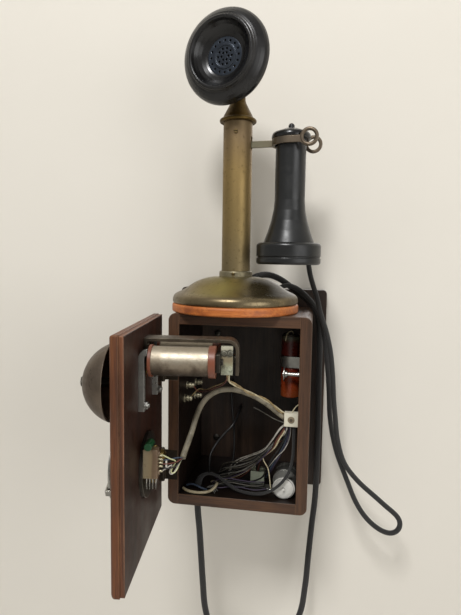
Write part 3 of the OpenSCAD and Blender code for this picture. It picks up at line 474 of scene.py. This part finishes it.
def makeCord(name, node, c):
    # where the sheath ends, the thickness eases down to that of the bare lead
    line = layLine(cordCut, c["route"])
    long = float(spans(line).sum())
    thick = np.full(len(line), c["thick"])
    if "bare" in c:
        share = np.clip((np.linspace(0, long, len(line)) - c["bareFrom"]) / c["bareOver"], 0, 1)
        share = share * share * (3 - 2 * share)
        thick = c["thick"] * (1 - share) + c["bare"] * share
    cord = makeTube(name, line, thick / 2, braid, cordCut["around"])
    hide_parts(node)
    return cord


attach(makeCord("standCord", "stand_cord", standCord), "stand_and_box")
earCord = makeCord("receiverCord", "receiver_cord", receiverCord)
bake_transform(earCord)
print("cords laid")

# cables and wires

wireSides = 8


def twistLine(line, apart, turns, lag):
    # the line moved aside by a fixed distance that turns evenly along it
    one, two = carrySides(line)
    angle = np.linspace(0, fullTurn * turns, len(line)) + lag
    return line + apart * (one * np.cos(angle)[:, None] + two * np.sin(angle)[:, None])


def makeWire(name, line, radius, cover, body=None, hides=None):
    wire = makeTube(name, line, radius, cover, wireSides, body)
    if hides:
        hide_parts(hides)
    return wire


def makeWires(name, c, body=None):
    # one wire for each row of cover, radius and route
    return [makeWire(f"{name}{order}", layLine(c, route), radius / perMetre, cover, body)
            for order, (cover, radius, route) in enumerate(c["routes"])]


dialCable = {
    "step": 0.002, "ease": 4, "around": 14,
    "route": [
        [-39.5, -209, -21], [-38.9, -204, -16.4], [-37.6, -197, -10.2], [-35.7, -188, -1],
        [-33.7, -179, 10.5], [-30.2, -169, 21], [-25, -160.5, 27], [-17.9, -152, 30.4],
        [-7.9, -143, 30.6], [2.6, -136, 28], [13.5, -130, 23], [27.4, -123.5, 14], [37, -119.6, 6.4],
        [44.6, -118, -0.4], [50.4, -117.6, -4]],
    "radius": 0.0028, "still": (0.050, -0.1175, 0), "carried": (-0.0385, -0.205, 0),
}
cable = makeTube("dialCable", layLine(dialCable, dialCable["route"]), dialCable["radius"], greySleeve,
                 dialCable["around"])
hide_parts("dial_cable")
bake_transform(cable)

dialLeads = {
    "step": 0.0008, "ease": 6,
    "routes": [
        (limeSleeve, 0.65, [[-39.4, -208.6, -20.6], [-41.3, -212, -23.9], [-42.8, -216, -28.4],
                            [-45.5, -220, -31.8], [-47.8, -221.4, -30.6], [-46.4, -219, -26.4],
                            [-44.2, -217, -21.6], [-47.4, -223, -17], [-53.4, -232, -9.6]]),
        (whiteSleeve, 0.65, [[-39.6, -209, -21.2], [-42, -213.4, -24.6], [-44, -217.4, -29],
                             [-46.4, -220.8, -32.6], [-48.8, -222.4, -31], [-47.6, -220.6, -26.6],
                             [-46.4, -221, -23.4], [-49.6, -227, -24], [-53.6, -232, -25.6]]),
        (blueSleeve, 0.6, [[-39.4, -209, -20.7], [-43, -215, -18.5], [-47.5, -222, -17.5],
                           [-51.5, -229, -16], [-55.4, -233, -14]]),
        (blackSleeve, 0.6, [[-39.6, -209, -20.9], [-42, -215.5, -24], [-46, -223, -25.5],
                            [-50.5, -230, -23], [-55.4, -233.4, -20]]),
        (redSleeve, 0.6, [[-39.5, -209, -20.8], [-43, -216, -22], [-48, -224, -21], [-52, -230.5, -19],
                          [-55.4, -233.2, -17]])],
}
makeWires("dialLead", dialLeads, "door")

ringerWires = {
    "step": 0.0015, "ease": 4, "covers": (creamSleeve, tanSleeve),
    "route": [
        [3.7, -213.2, 62.6], [3.2, -211.6, 57.5], [6.4, -203, 52.4], [11.4, -190, 45.4],
        [16.9, -178, 38.4], [23.7, -163, 31.2], [30.9, -148, 23.8], [39.8, -131, 12.4],
        [46.6, -120, 3.2], [50.4, -117.5, 0.6]],
    "radius": 0.0008, "apart": 0.0009, "turns": 2,
    "still": (0.050, -0.1175, 0), "carried": (0.004, -0.211, 0),
}
pairLine = layLine(ringerWires, ringerWires["route"])
for order, cover in enumerate(ringerWires["covers"]):
    strand = twistLine(pairLine, ringerWires["apart"], ringerWires["turns"], order * np.pi)
    wire = makeWire(f"ringerWire{order}", strand, ringerWires["radius"], cover,
                    hides=None if order else "ringer_wires")
    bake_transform(wire)

terminalWires = {
    "step": 0.0015, "ease": 4,
    "routes": [
        (redSleeve, 0.6, [[3.4, -213, 62.4], [1.6, -212, 56.5], [-1.5, -208, 52.4], [-6, -198, 48.1],
                          [-15.3, -180, 40.7], [-32.7, -145, 27.6], [-46.9, -118, 20.1],
                          [-57, -94, 19.4]]),
        (tanSleeve, 0.65, [[3.6, -213, 62.4], [2.2, -212, 57.4], [-1.2, -207.4, 53.8],
                           [-5.8, -198, 49.9], [-15, -180, 42.8], [-32.2, -145, 29.2],
                           [-46.2, -118, 21.8], [-57.4, -101, 9.4]])],
    "still": (-0.0565, -0.095, 0), "carried": (0.0016, -0.211, 0),
}
for wire in makeWires("terminalWire", terminalWires):
    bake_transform(wire)

caseWiring = {
    "step": 0.0015, "ease": 0,
    "route": [
        [53.4, -118, -12.9], [53.4, -118, -14.5], [52.4, -115, -22], [45, -106, -34], [33, -98, -46],
        [24, -92, -58], [19.6, -87, -70], [19, -85.5, -79.6]],
    "radius": 0.0008, "apart": 0.0016, "turns": 1.6,
    "covers": (blackSleeve, whiteSleeve, plumSleeve, blackSleeve, redSleeve, blackSleeve),
}
loomLine = layLine(caseWiring, caseWiring["route"])
for order, cover in enumerate(caseWiring["covers"]):
    lag = order * fullTurn / len(caseWiring["covers"])
    strand = twistLine(loomLine, caseWiring["apart"], caseWiring["turns"], lag)
    makeWire(f"caseWire{order}", strand, caseWiring["radius"], cover, "stand_and_box",
             None if order else "case_wiring")

looseWires = {
    "step": 0.0015, "ease": 3,
    "routes": [
        (whiteSleeve, 0.75, [[51, -117.6, -11.5], [48.5, -117, -13.8], [37.9, -112, -31.1],
                             [28.1, -106, -45.3], [12, -98.4, -56.5], [-2, -92, -65], [-13, -87, -76],
                             [-16, -82, -90]]),
        (blackSleeve, 1.0, [[52, -118, -12], [46.4, -115.5, -18], [35.4, -110, -34.5],
                            [25.4, -104, -48.6], [9, -95, -61], [-5, -88, -72], [-20, -80, -85],
                            [-30, -74, -94]]),
        (whiteSleeve, 0.5, [[51.4, -118.4, -11.8], [47.4, -117.4, -16], [37, -112.6, -33],
                            [27, -106.6, -47.4], [10, -98.8, -58.6], [-4, -92.6, -69], [-14, -88, -82]]),
        (creamSleeve, 0.75, [[53, -118, -12.2], [52.2, -117.8, -16.5], [45.4, -114, -29.8],
                             [41.3, -110, -39.9], [30.8, -104, -52.2], [20, -99, -63.4],
                             [12, -96, -73], [3, -93, -81], [-9, -90, -88], [-20, -86, -94.5]]),
        (tanSleeve, 0.6, [[53.4, -117.2, -12.2], [51, -116.5, -18.6], [43.6, -112.5, -32],
                          [39.4, -108.5, -42], [28.8, -102.5, -54.5], [17.6, -97.6, -66],
                          [9, -94.6, -75.6], [0, -91.6, -83.6], [-14, -87, -93]]),
        (redSleeve, 0.7, [[52.5, -117.5, -12.2], [49, -116.5, -19.4], [41.6, -112.5, -33],
                          [37.6, -108.5, -43], [27, -102.5, -56], [15, -96.5, -70], [8, -93.6, -79],
                          [0, -90.6, -87], [-12, -84, -95]]),
        (creamSleeve, 0.55, [[30.8, -104, -45], [27.4, -104.6, -50], [27, -106, -57],
                             [33, -109, -66.3], [35.6, -113, -77.1], [37.4, -115, -87.3],
                             [39.4, -113, -92]]),
        (whiteSleeve, 0.55, [[57, -114.8, -12], [57.4, -114.4, -20], [56, -113, -29.4],
                             [50.6, -110, -43.3], [44.7, -107, -50.8], [34.7, -102, -65.3],
                             [29, -96, -76], [27.4, -90, -84]]),
        (blueSleeve, 1.0, [[55, -116, -12], [54.6, -115.2, -20], [52, -112.5, -32.4],
                           [47.4, -108, -44.4], [37.8, -102, -64.5], [33.5, -98, -73.7],
                           [30, -92, -84], [27.4, -86, -88]]),
        (plumSleeve, 1.0, [[56.2, -116.8, -12], [56, -115.6, -21], [53.6, -112, -34],
                           [48.6, -107.4, -46], [39, -101, -66], [35, -96, -75.6], [31, -88, -83],
                           [27.4, -82, -88]]),
        (blackSleeve, 1.0, [[54.4, -119.4, -12], [53.8, -119, -19], [49.6, -115.6, -32],
                            [45, -111, -42], [35, -105, -60], [30.6, -101, -72], [26, -98, -82],
                            [10, -97, -90], [-10, -94, -94.6]]),
        (beigeSleeve, 1.7, [[-63, -118, -93.9], [-56, -123.5, -94.1], [-46, -125.6, -94.2],
                            [-36, -124, -94.1], [-29, -119, -93], [-25.6, -111, -90.4],
                            [-27, -102, -91], [-34, -96, -94]]),
        (blueSleeve, 1.2, [[-61, -110, -94.4], [-56, -111, -91.6], [-49.5, -113, -91.5],
                           [-42, -115.5, -93.4], [-35, -116, -94.6]]),
        (silverSleeve, 0.35, [[-36, -114, -93], [-31, -115, -90.6], [-27, -117.6, -91.4],
                              [-24.6, -119.4, -94.4]]),
        (silverSleeve, 0.35, [[-36, -114, -93], [-30.6, -116.4, -91.6], [-27.4, -119.4, -93.4],
                              [-25, -122, -95.2]]),
        (silverSleeve, 0.35, [[-36, -114, -93], [-30, -113.4, -90], [-26, -114, -92],
                              [-23, -116.4, -95]]),
        (ashSleeve, 0.6, [[15.5, -108, 2.4], [26.6, -110, -2], [38.9, -114, -7.2], [51, -117, -10.4]]),
        (creamSleeve, 0.6, [[58.6, -118, 2], [60.6, -115, 5.4], [65.6, -105, 8.4]]),
        (creamSleeve, 0.5, [[44.6, -73, 72], [47.6, -80, 74.5], [48.5, -81.5, 81.1], [51.7, -80.6, 86],
                            [55.4, -76, 85.4], [56.4, -72, 81]]),
        (blackSleeve, 1.6, [[-12, -14, -24], [-14.4, -28, -34], [-19, -40, -43], [-28.4, -44, -53],
                            [-39, -50, -66.7], [-43.6, -58, -77], [-43, -66, -85], [-41, -76, -94]]),
        (blackSleeve, 1.5, [[-24, -14, 9], [-23.4, -24, 2], [-21.9, -30, -17], [-18.8, -32, -43.5],
                            [-16.9, -36, -66.8], [-17.6, -44, -94]])],
}
makeWires("looseWire", looseWires, "stand_and_box")

wireSpread = {
    "radius": 0.0007, "step": 0.0015, "ease": 3,
    "along": 1.9, "between": 2.3, "sway": 1.0, "lift": 0.6, "liftRate": 1.3,   # wave of each wire
}
wireFan = {
    "covers": (ashSleeve, blackSleeve, silverSleeve, ashSleeve, blackSleeve, silverSleeve, ashSleeve,
               plumSleeve),
    "first": [[39, -111, -36.5], [27.5, -105, -48.5], [14.2, -99.4, -60.4], [0.5, -94.4, -67.6],
              [-13.7, -89, -71.6], [-24, -80, -80], [-28, -70, -94]],
    "last": [[36, -110, -42.5], [23.5, -105, -60], [11.7, -100, -73.4], [-3.4, -96, -83],
             [-17.3, -92, -90.6], [-26, -88, -94], [-34, -80, -95]],
}
wireRun = {
    "covers": (plumSleeve, blackSleeve, ashSleeve, blackSleeve, plumSleeve),
    "first": [[-33, -100, -94.4], [-27, -104, -88.6], [-13.7, -103, -85.4], [0.8, -102, -87],
              [14, -101, -88], [29, -98, -89]],
    "last": [[-30, -108, -94.9], [-22, -109, -94.2], [-12, -107.4, -93.4], [2, -106, -94.4],
             [18.2, -105, -94.8], [31.2, -102, -94.9]],
}


def spreadRoute(c, order):
    # a route between the first and the last one, with a small wave so that no two lie alike
    w = wireSpread
    share = order / (len(c["covers"]) - 1)
    first, last = np.array(c["first"], float), np.array(c["last"], float)
    route = first * (1 - share) + last * share
    phase = np.arange(len(route)) * w["along"] + order * w["between"]
    lift = w["lift"] * (1 + np.cos(w["liftRate"] * phase))
    return route + np.stack([0 * phase, w["sway"] * np.sin(phase), lift], -1)


for name, c in (("fanWire", wireFan), ("runWire", wireRun)):
    for order, cover in enumerate(c["covers"]):
        line = layLine(wireSpread, spreadRoute(c, order))
        makeWire(f"{name}{order}", line, wireSpread["radius"], cover, "stand_and_box")
print("cables and wires laid")

# finishes of the solids

darkWood = woodFinish("darkWood", "z", "#1e150f", "#30231a", "#403023", "#5e4633")
boards = {    # grain and inner side of each board of the box; the inner side gets painted shade
    "left": ("z", (1, 0, 0)), "right": ("z", (-1, 0, 0)),
    "top": ("x", (0, 0, -1)), "bottom": ("x", (0, 0, 1)),
}
boxWood = {key: woodFinish(key + "Wood", grain, "#2d1e13", "#4a3120", "#5f4129", "#8d6644", side=way,
                           paintedShade="#5e5852")
           for key, (grain, way) in boards.items()}
doorWood = woodFinish("doorWood", "z", "#371d0f", "#5a331b", "#744625", "#a8744a", edge=0.003)
# door lining: its inner face is darkened with painted shade, and its paler rubbed edges are partly real
# wear, partly a painted highlight along the rounded edge
doorLining = woodFinish("doorLining", "z", "#3f2416", "#633a22", "#7c4b2e", "#c08f6d", edge=0.0022, wear=1.0,
                        side=(0.994, 0.110, 0), paintedShade="#7a6246")
ringWood = woodFinish("ringWood", "x", "#8a4a24", "#b5672f", "#cf8446", "#dd9a5c", figure=90, wear=0.5)
columnBrass = metalFinish(
    "columnBrass", "#54462b", "#7c6944", "#917c52", "#a58e62", metal=0.8, gloss=0.46, stretch=(1, 1, 0.2),
    drift={"axis": 2, "low": 0.150, "high": 0.330, "share": 0.65, "stops": [
        (0.05, "#7a6e52"), (0.3, "#86734a"), (0.62, "#947c4e"), (0.84, "#7a6750"), (0.95, "#6c5c48")]})
# base: above the lip the colour drifts across x from tan through a yellow-green middle to a dark right side,
# partly patina and partly painted reflection of the room and the receiver
baseBrass = metalFinish(
    "baseBrass", "#443b29", "#6c5f46", "#7c6f55", "#9c8d68", metal=0.78, gloss=0.31, brush=0.05,
    drift={"axis": 0, "low": -0.085, "high": 0.063, "share": 0.75, "floor": 0.1265, "fade": 0.004, "stops": [
        (0.12, "#6b5b40"), (0.24, "#7c6b3e"), (0.44, "#8c7f40"), (0.6, "#72653a"), (0.7, "#4a4028"),
        (0.9, "#3d3624")]})
collarBrass = metalFinish("collarBrass", "#514937", "#7b735c", "#8f8770", "#aaa188", metal=0.8, gloss=0.42)
capBrass = metalFinish("capBrass", "#3f321a", "#5f4c27", "#7d6534", "#ab8f55", gloss=0.38)
smallBrass = metalFinish("smallBrass", "#5c4b26", "#86703e", "#a28a54", "#c0a76c", gloss=0.32)
hingeBrass = metalFinish("hingeBrass", "#1c1712", "#2d261c", "#3d3428", "#6d5d43", metal=0.7, gloss=0.5)
screwBrass = metalFinish("screwBrass", "#4a3d25", "#6e5d3d", "#85724c", "#a8935f", gloss=0.38,
                         slots=(0.306, 0.1507))
wallSteel = metalFinish("wallSteel", "#2a2825", "#413e39", "#57534c", "#7d786e", gloss=0.42,
                        slots=(0.070, -0.070))
dullNickel = metalFinish("dullNickel", "#7d765f", "#b8b094", "#cfc7ad", "#e0d9c3", metal=0.7, gloss=0.32)
grilleMetal = metalFinish("grilleMetal", "#1f2227", "#3a4049", "#505863", "#868d97", metal=0.8, gloss=0.26)
bronze = metalFinish(
    "bronze", "#40382f", "#685d50", "#857a6b", "#b8ab96", gloss=0.34,
    drift={"axis": 0, "low": 0.003, "high": 0.046, "share": 0.7, "stops": [
        (0.1, "#8f8c74"), (0.5, "#88816b"), (0.8, "#685d50"), (0.95, "#6a5e50")]})
gongMetal = metalFinish("gongMetal", "#483f36", "#6b5f53", "#817365", "#a39482", gloss=0.36, cloud=14)
steel = metalFinish("steel", "#75746f", "#a3a29c", "#bdbcb6", "#d4d3ce", gloss=0.28)
darkIron = metalFinish("darkIron", "#2b2824", "#45413b", "#5c574f", "#857e73", gloss=0.4)
bracketIron = metalFinish("bracketIron", "#38322a", "#5b5246", "#746a5b", "#9c907d", gloss=0.38)
nickel = metalFinish("nickel", "#716f69", "#94928b", "#a9a79f", "#cdcac3", gloss=0.24, cloud=40, spots=0.12,
                     brush=0.04)
blackGloss = mouldedFinish("blackGloss", "#0c0b0b", "#191716", 0.22, worn="#453d36", mottle=0.3)
receiverBlack = mouldedFinish("receiverBlack", "#131414", "#1f1f1e", 0.3, worn="#3c3834", mottle=0.3)
blackRubber = mouldedFinish("blackRubber", "#161515", "#2a2826", 0.5)
# ringer coils: the colour drifts with height, a dark low band of painted shade and a pale band higher up as
# a painted highlight
foil = metalFinish(
    "foil", "#746b5c", "#978d7d", "#aea491", "#c4baa6", gloss=0.46, cloud=60, spots=0.25,
    stretch=(1, 0.25, 1), brush=0.6,
    drift={"axis": 2, "low": 0.054, "high": 0.094, "share": 0.9, "stops": [
        (0.22, "#2d231b"), (0.4, "#63564a"), (0.56, "#978b79"), (0.68, "#b2a896"), (0.95, "#978d7d")]})
redFibre = mouldedFinish("redFibre", "#74402b", "#4d2a1b", 0.38, worn="#955f47", mottle=0.7)
# induction coil: the colour drifts with height from orange low down to dark red higher up, ending in a
# greenish top edge that is a painted reflection
coilPaper = metalFinish(
    "coilPaper", "#2c0f0b", "#5a1c14", "#6d2717", "#8a4a2c", metal=0.0, gloss=0.24, spots=0.3,
    drift={"axis": 2, "low": 0.009, "high": 0.080, "share": 0.7, "stops": [
        (0.05, "#7a3a16"), (0.3, "#8a3414"), (0.5, "#6a1d10"), (0.9, "#43120e"), (0.97, "#3d5140")]})
canSkin = metalFinish("canSkin", "#5d5c57", "#84837d", "#9a9993", "#bdbcb6", metal=0.3, gloss=0.38,
                      side=(0, -1, 0), cover="#d6d3cc")
blockMould = metalFinish(
    "blockMould", "#5f5039", "#8d7d60", "#9d8e71", "#b3a586", metal=0.0, gloss=0.42, spots=0.4,
    drift={"axis": 0, "low": -0.0685, "high": -0.0550, "share": 0.8, "stops": [
        (0.1, "#9a8b6f"), (0.5, "#8b795a"), (0.64, "#5e4834"), (0.95, "#6e5644")]})
springNickel = metalFinish(
    "springNickel", "#6d675c", "#a8a297", "#bfbaaf", "#d6d2c8", metal=0.4, gloss=0.32, spots=0.2,
    drift={"axis": 2, "low": -0.041, "high": -0.0305, "share": 0.85, "stops": [
        (0.1, "#35312b"), (0.5, "#5a554c"), (0.64, "#c9c4b9"), (0.95, "#d5d1c7")]})
tieMould = mouldedFinish(
    "tieMould", "#cdc7b4", "#9d9580", 0.45, mottle=0.6,
    spot={"x": 0.058, "z": -0.005, "wide": 0.0036, "fade": 0.0003, "ring": "#7d6f58", "middle": "#43392c"})
paleGreen = mouldedFinish("paleGreen", "#c9d0ba", "#969e86", 0.45, mottle=0.7)
plateWhite = mouldedFinish("plateWhite", "#dedbd0", "#bdb7a8", 0.3)
greenGlass = mouldedFinish("greenGlass", "#1d4d2c", "#12311d", 0.25)
stainCard = metalFinish(
    "stainCard", "#26231d", "#7d7a66", "#b5b29c", "#cfccb9", metal=0.0, gloss=0.48, cloud=70, spots=0.6,
    drift={"axis": 2, "low": 0.062, "high": 0.088, "share": 0.75, "stops": [
        (0.06, "#8e8f7c"), (0.22, "#a9ad95"), (0.36, "#8f8c70"), (0.5, "#7b6c50"), (0.6, "#7d7055"),
        (0.7, "#26231d"), (0.9, "#2c2922"), (0.97, "#aba793")]})
inkBlack = mouldedFinish("inkBlack", "#181716", "#2c2a28", 0.4)

wears = {
    "back_board": darkWood, "case_left": boxWood["left"], "case_right": boxWood["right"],
    "case_top": boxWood["top"], "case_bottom": boxWood["bottom"], "case_hinges": hingeBrass,
    "wooden_ring": ringWood, "stand_screws": screwBrass, "stand_base": baseBrass,
    "column_collar": collarBrass, "column_tube": columnBrass, "column_cap": capBrass,
    "tilt_bolt": smallBrass, "hook_pin": smallBrass, "cord_bushes": blackRubber,
    "induction_coil": coilPaper, "clamp_straps": steel, "capacitor": canSkin, "tie_mount": tieMould,
    "terminal_block": paleGreen, "wall_terminals": dullNickel, "door_panel": doorWood,
    "door_backing": doorLining, "door_hinges": hingeBrass, "left_gong": gongMetal,
    "right_gong": gongMetal, "gong_posts": darkIron, "gong_brackets": steel,
    "ringer_bracket": bracketIron, "ringer_coils": foil, "coil_cheeks": redFibre,
    "ringer_yoke": darkIron, "terminal_plate": stainCard, "armature_pivot": steel,
    "armature": darkIron, "clapper": smallBrass, "dial_case": darkIron, "number_plate": plateWhite,
    "finger_stop": nickel, "contact_block": blockMould, "contact_springs": springNickel,
    "spark_capsule": greenGlass, "finger_wheel": nickel, "wheel_cap": nickel,
    "dial_shaft": smallBrass, "governor": smallBrass, "switch_hook": bronze,
    "receiver_shell": receiverBlack, "ear_cap": receiverBlack, "receiver_top": blackGloss,
    "transmitter_back": capBrass, "mouthpiece": blackGloss, "grille": grilleMetal,
}
for nodeName, finish in wears.items():
    nodes[nodeName].data.materials.clear()
    nodes[nodeName].data.materials.append(finish)
print("finishes set on", len(wears), "solids")

# small pieces

wallScrews = {
    "places": [(-45, 70), (45, 70), (-45, -70), (45, -70)], "face": -12,
    "radius": 4.6, "rise": 2.4, "pole": 0.02, "stations": 10, "around": 28,
}


def makeScrews(c):
    # flat half ball on each wall screw hole: a circle of radius times sine carried forwards to rise times
    # cosine, from the rim almost to the pole
    lean = np.linspace(np.pi / 2, c["pole"], c["stations"])
    forward = c["face"] - c["rise"] * np.cos(lean)
    radius = c["radius"] * np.sin(lean) / perMetre
    for order, (x, z) in enumerate(c["places"]):
        line = np.stack([np.full_like(lean, x), forward, np.full_like(lean, z)], -1) / perMetre
        screw = makeTube(f"wallScrew{order}", line, radius, wallSteel, c["around"], "stand_and_box")


standBase = {
    "around": 128, "outerStep": 0.0011, "innerStep": 0.003,
    "outer": [(70.7, 0), (71.4, 1.4), (71.5, 3.8), (71.0, 6.4), (69.4, 8.9), (66.6, 10.8), (63, 12.4),
              (59.4, 14.3), (55, 17), (47, 22.4), (37, 26.8), (28, 28.9), (20, 29.5), (14.65, 29.5)],
    "inner": [(14.65, 27.5), (20, 27.5), (37, 24.8), (47, 20.2), (55, 14.6), (62, 10), (66.4, 6.6), (67, 3),
              (66.4, 0)],
}


def makeBase(c):
    # hollow profile turned about the stand's axis: a dome that runs in a hollow curve into a rounded lip
    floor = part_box("stand_base")[0][2]
    sides = [smoothLine([[r, 0, z] for r, z in c[side]], c[side + "Step"]) for side in ("outer", "inner")]
    reach, rise = np.vstack(sides)[:, [0, 2]].T
    turn = np.linspace(0, fullTurn, c["around"], endpoint=False)
    ring = np.stack([np.cos(turn), np.sin(turn)], -1)
    across = reach[:, None, None] * ring + np.array(standFoot) / perMetre
    height = np.broadcast_to((rise + floor)[:, None, None], (*across.shape[:2], 1))
    points = np.concatenate([across, height], -1)
    base = makeMesh("standBase", points, ringFaces(len(reach), c["around"]), baseBrass, "stand_and_box")
    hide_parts("stand_base")


eyeletRims = {"turn": -6, "place": (82, 19.7, 295.8), "ring": 7.9, "roll": 2.0, "around": 48, "sides": 16}


def makeRims(c):
    # rolled rim of each eyelet of the fork: a small circle carried round a larger one that stands upright
    turn = np.radians(c["turn"])
    swing = np.array([[np.cos(turn), -np.sin(turn)], [np.sin(turn), np.cos(turn)]])
    around, roll = np.meshgrid(np.linspace(0, fullTurn, c["around"], endpoint=False),
                               np.linspace(0, fullTurn, c["sides"], endpoint=False), indexing="ij")
    out, aside, up = c["place"]
    wide = c["ring"] + c["roll"] * np.cos(roll)
    height = (up + wide * np.sin(around))[..., None]
    for order, way in enumerate((-1, 1)):
        flat = np.stack([out + wide * np.cos(around), way * aside + c["roll"] * np.sin(roll)], -1)
        points = np.concatenate([flat @ swing.T + standFoot, height], -1) / perMetre
        rim = makeMesh(f"eyeletRim{order}", points, ringFaces(c["around"], c["sides"]), bronze, "hook")


def onDoor(far, depth):
    # places on the open door: so far along it from the hinge pin, and so deep inwards from the pin's plane
    turn = np.radians(doorHang["open"])
    along, inward = np.array([np.cos(turn), -np.sin(turn)]), np.array([np.sin(turn), np.cos(turn)])
    return np.array(doorHang["pin"]) + far * along + depth * inward


leadTags = {
    "far": 106.5, "heights": (-10.4, -13.8, -17.1, -20.3, -24.8), "depth": (15.6, 20.2),
    "radius": (0.55, 1.0, 1.0, 1.0, 1.0, 0.7), "around": 12,
}


def makeTags(c):
    # short ferrules on the end face of the contact block: a circle of changing radius carried straight in
    radius = np.array(c["radius"]) / perMetre
    flat = onDoor(c["far"], np.linspace(*c["depth"], len(radius))[:, None])
    for order, z in enumerate(c["heights"]):
        line = np.column_stack([flat, np.full(len(flat), z)]) / perMetre
        tag = makeTube(f"leadTag{order}", line, radius, dullNickel, c["around"], "door")


dialNumbers = {
    "middle": (83, -28), "ring": 27.5, "depth": -20.42, "tall": 7.5,
    "first": 32, "step": 30, "count": 10,    # degrees, and how many figures
}


def makeNumbers(c):
    # figures cut from the plain built-in letter shapes, moved into the plane of the number plate
    points, faces = np.zeros((0, 3)), []
    for order in range(c["count"]):
        shape = bpy.data.curves.new("figure", "FONT")
        shape.body = str((order + 1) % c["count"])
        shape.size = c["tall"]
        shape.align_x = "CENTER"
        shape.align_y = "CENTER"
        holder = bpy.data.objects.new("figure", shape)
        bpy.context.scene.collection.objects.link(holder)
        flat = bpy.data.meshes.new_from_object(holder.evaluated_get(bpy.context.evaluated_depsgraph_get()))
        spots = np.zeros(3 * len(flat.vertices))
        flat.vertices.foreach_get("co", spots)
        spots = spots.reshape(-1, 3)
        angle = np.radians(c["first"] + c["step"] * order)
        far = c["middle"][0] + c["ring"] * np.cos(angle) + spots[:, 0]
        z = c["middle"][1] + c["ring"] * np.sin(angle) + spots[:, 1]
        faces += [[len(points) + k for k in face.vertices] for face in flat.polygons]
        points = np.vstack([points, np.column_stack([onDoor(far[:, None], c["depth"]), z])])
        bpy.data.objects.remove(holder)
        bpy.data.curves.remove(shape)
        bpy.data.meshes.remove(flat)
    figures = makeMesh("dialNumbers", points / perMetre, faces, inkBlack, "door", smooth=False)


makeScrews(wallScrews)
makeBase(standBase)
makeRims(eyeletRims)
makeTags(leadTags)
makeNumbers(dialNumbers)
print("small pieces made")

# stage and light

stageSetup = {
    "wall": "#d9d4ca", "floor": "#d9d6d0", "stain": "#c9c4ba",
    "gap": 0.0012, "floorAt": -0.62, "reach": 4.0,
    "key": {"place": (-0.25, -1.55, 1.75), "aim": (0, -0.06, 0.05), "size": 0.55, "power": 37},
    "fill": {"place": (1.3, -1.3, 0.3), "aim": (0, -0.06, 0.05), "size": 1.2, "power": 9},
    "rear": {"place": (0.4, 1.6, 0.9), "aim": (0, 0, 0.05), "size": 1.0, "power": 16},
    "sky": {"colour": "#f4f2ee", "power": 0.42},
}


def stageFinish(name, colour, seeThrough):
    # pale paint with faint mottling; the wall shows from its front to the camera, mirrors and glass only
    finish, tree, shader, where = newFinish(name)
    mottle = band(tree, noise(tree, where, scale=3), 0.35, 0.65, 0, 0.12)
    paint = mix(tree, mottle, colour, stageSetup["stain"])
    feed(tree, shader, Base_Color=paint, Roughness=0.9, Specular_IOR_Level=0.1)
    if seeThrough:
        ray = put(tree, "LightPath").outputs
        shown = sums(tree, "MAXIMUM", ray["Is Glossy Ray"], ray["Is Transmission Ray"])
        shown = sums(tree, "MAXIMUM", ray["Is Camera Ray"], shown)
        ahead = sums(tree, "SUBTRACT", 1.0, put(tree, "NewGeometry").outputs["Backfacing"])
        both = put(tree, "MixShader", {0: sums(tree, "MULTIPLY", shown, ahead)})
        tree.links.new(put(tree, "BsdfTransparent").outputs[0], both.inputs[1])
        tree.links.new(shader.outputs[0], both.inputs[2])
        out = next(n for n in tree.nodes if n.type == "OUTPUT_MATERIAL")
        tree.links.new(both.outputs[0], out.inputs[0])
    return finish


def makeSheet(name, corners, finish):
    sheet = makeMesh(name, corners, [[0, 1, 2, 3]], finish, smooth=False)


def makeLamp(name, c):
    lamp = bpy.data.lights.new(name, "AREA")
    lamp.shape = "DISK"
    lamp.size = c["size"]
    lamp.energy = c["power"]
    holder = bpy.data.objects.new(name, lamp)
    back = np.array(c["place"], float) - np.array(c["aim"], float)
    back /= np.linalg.norm(back)
    side = np.cross([0, 0, 1.0], back)
    side /= np.linalg.norm(side)
    holder.matrix_world = aimed(side, np.cross(back, side), back, c["place"])
    bpy.context.scene.collection.objects.link(holder)


reach, wallAt, floorAt = stageSetup["reach"], stageSetup["gap"], stageSetup["floorAt"]
wallPaint = stageFinish("wallPaint", stageSetup["wall"], True)
makeSheet("wall", [[-reach, wallAt, floorAt], [reach, wallAt, floorAt], [reach, wallAt, reach],
                   [-reach, wallAt, reach]], wallPaint)
floorPaint = stageFinish("floorPaint", stageSetup["floor"], False)
makeSheet("floor", [[-reach, -reach, floorAt], [reach, -reach, floorAt], [reach, reach, floorAt],
                    [-reach, reach, floorAt]], floorPaint)
for lampName in ("key", "fill", "rear"):
    makeLamp(lampName + "Lamp", stageSetup[lampName])
world = bpy.data.worlds.new("sky")
bpy.context.scene.world = world
world.use_nodes = True
skyInputs = world.node_tree.nodes["Background"].inputs
skyInputs[0].default_value = tone(stageSetup["sky"]["colour"])
skyInputs[1].default_value = stageSetup["sky"]["power"]
bpy.context.scene.view_settings.view_transform = "Standard"
print("stage lit")

bpy.context.view_layer.update()
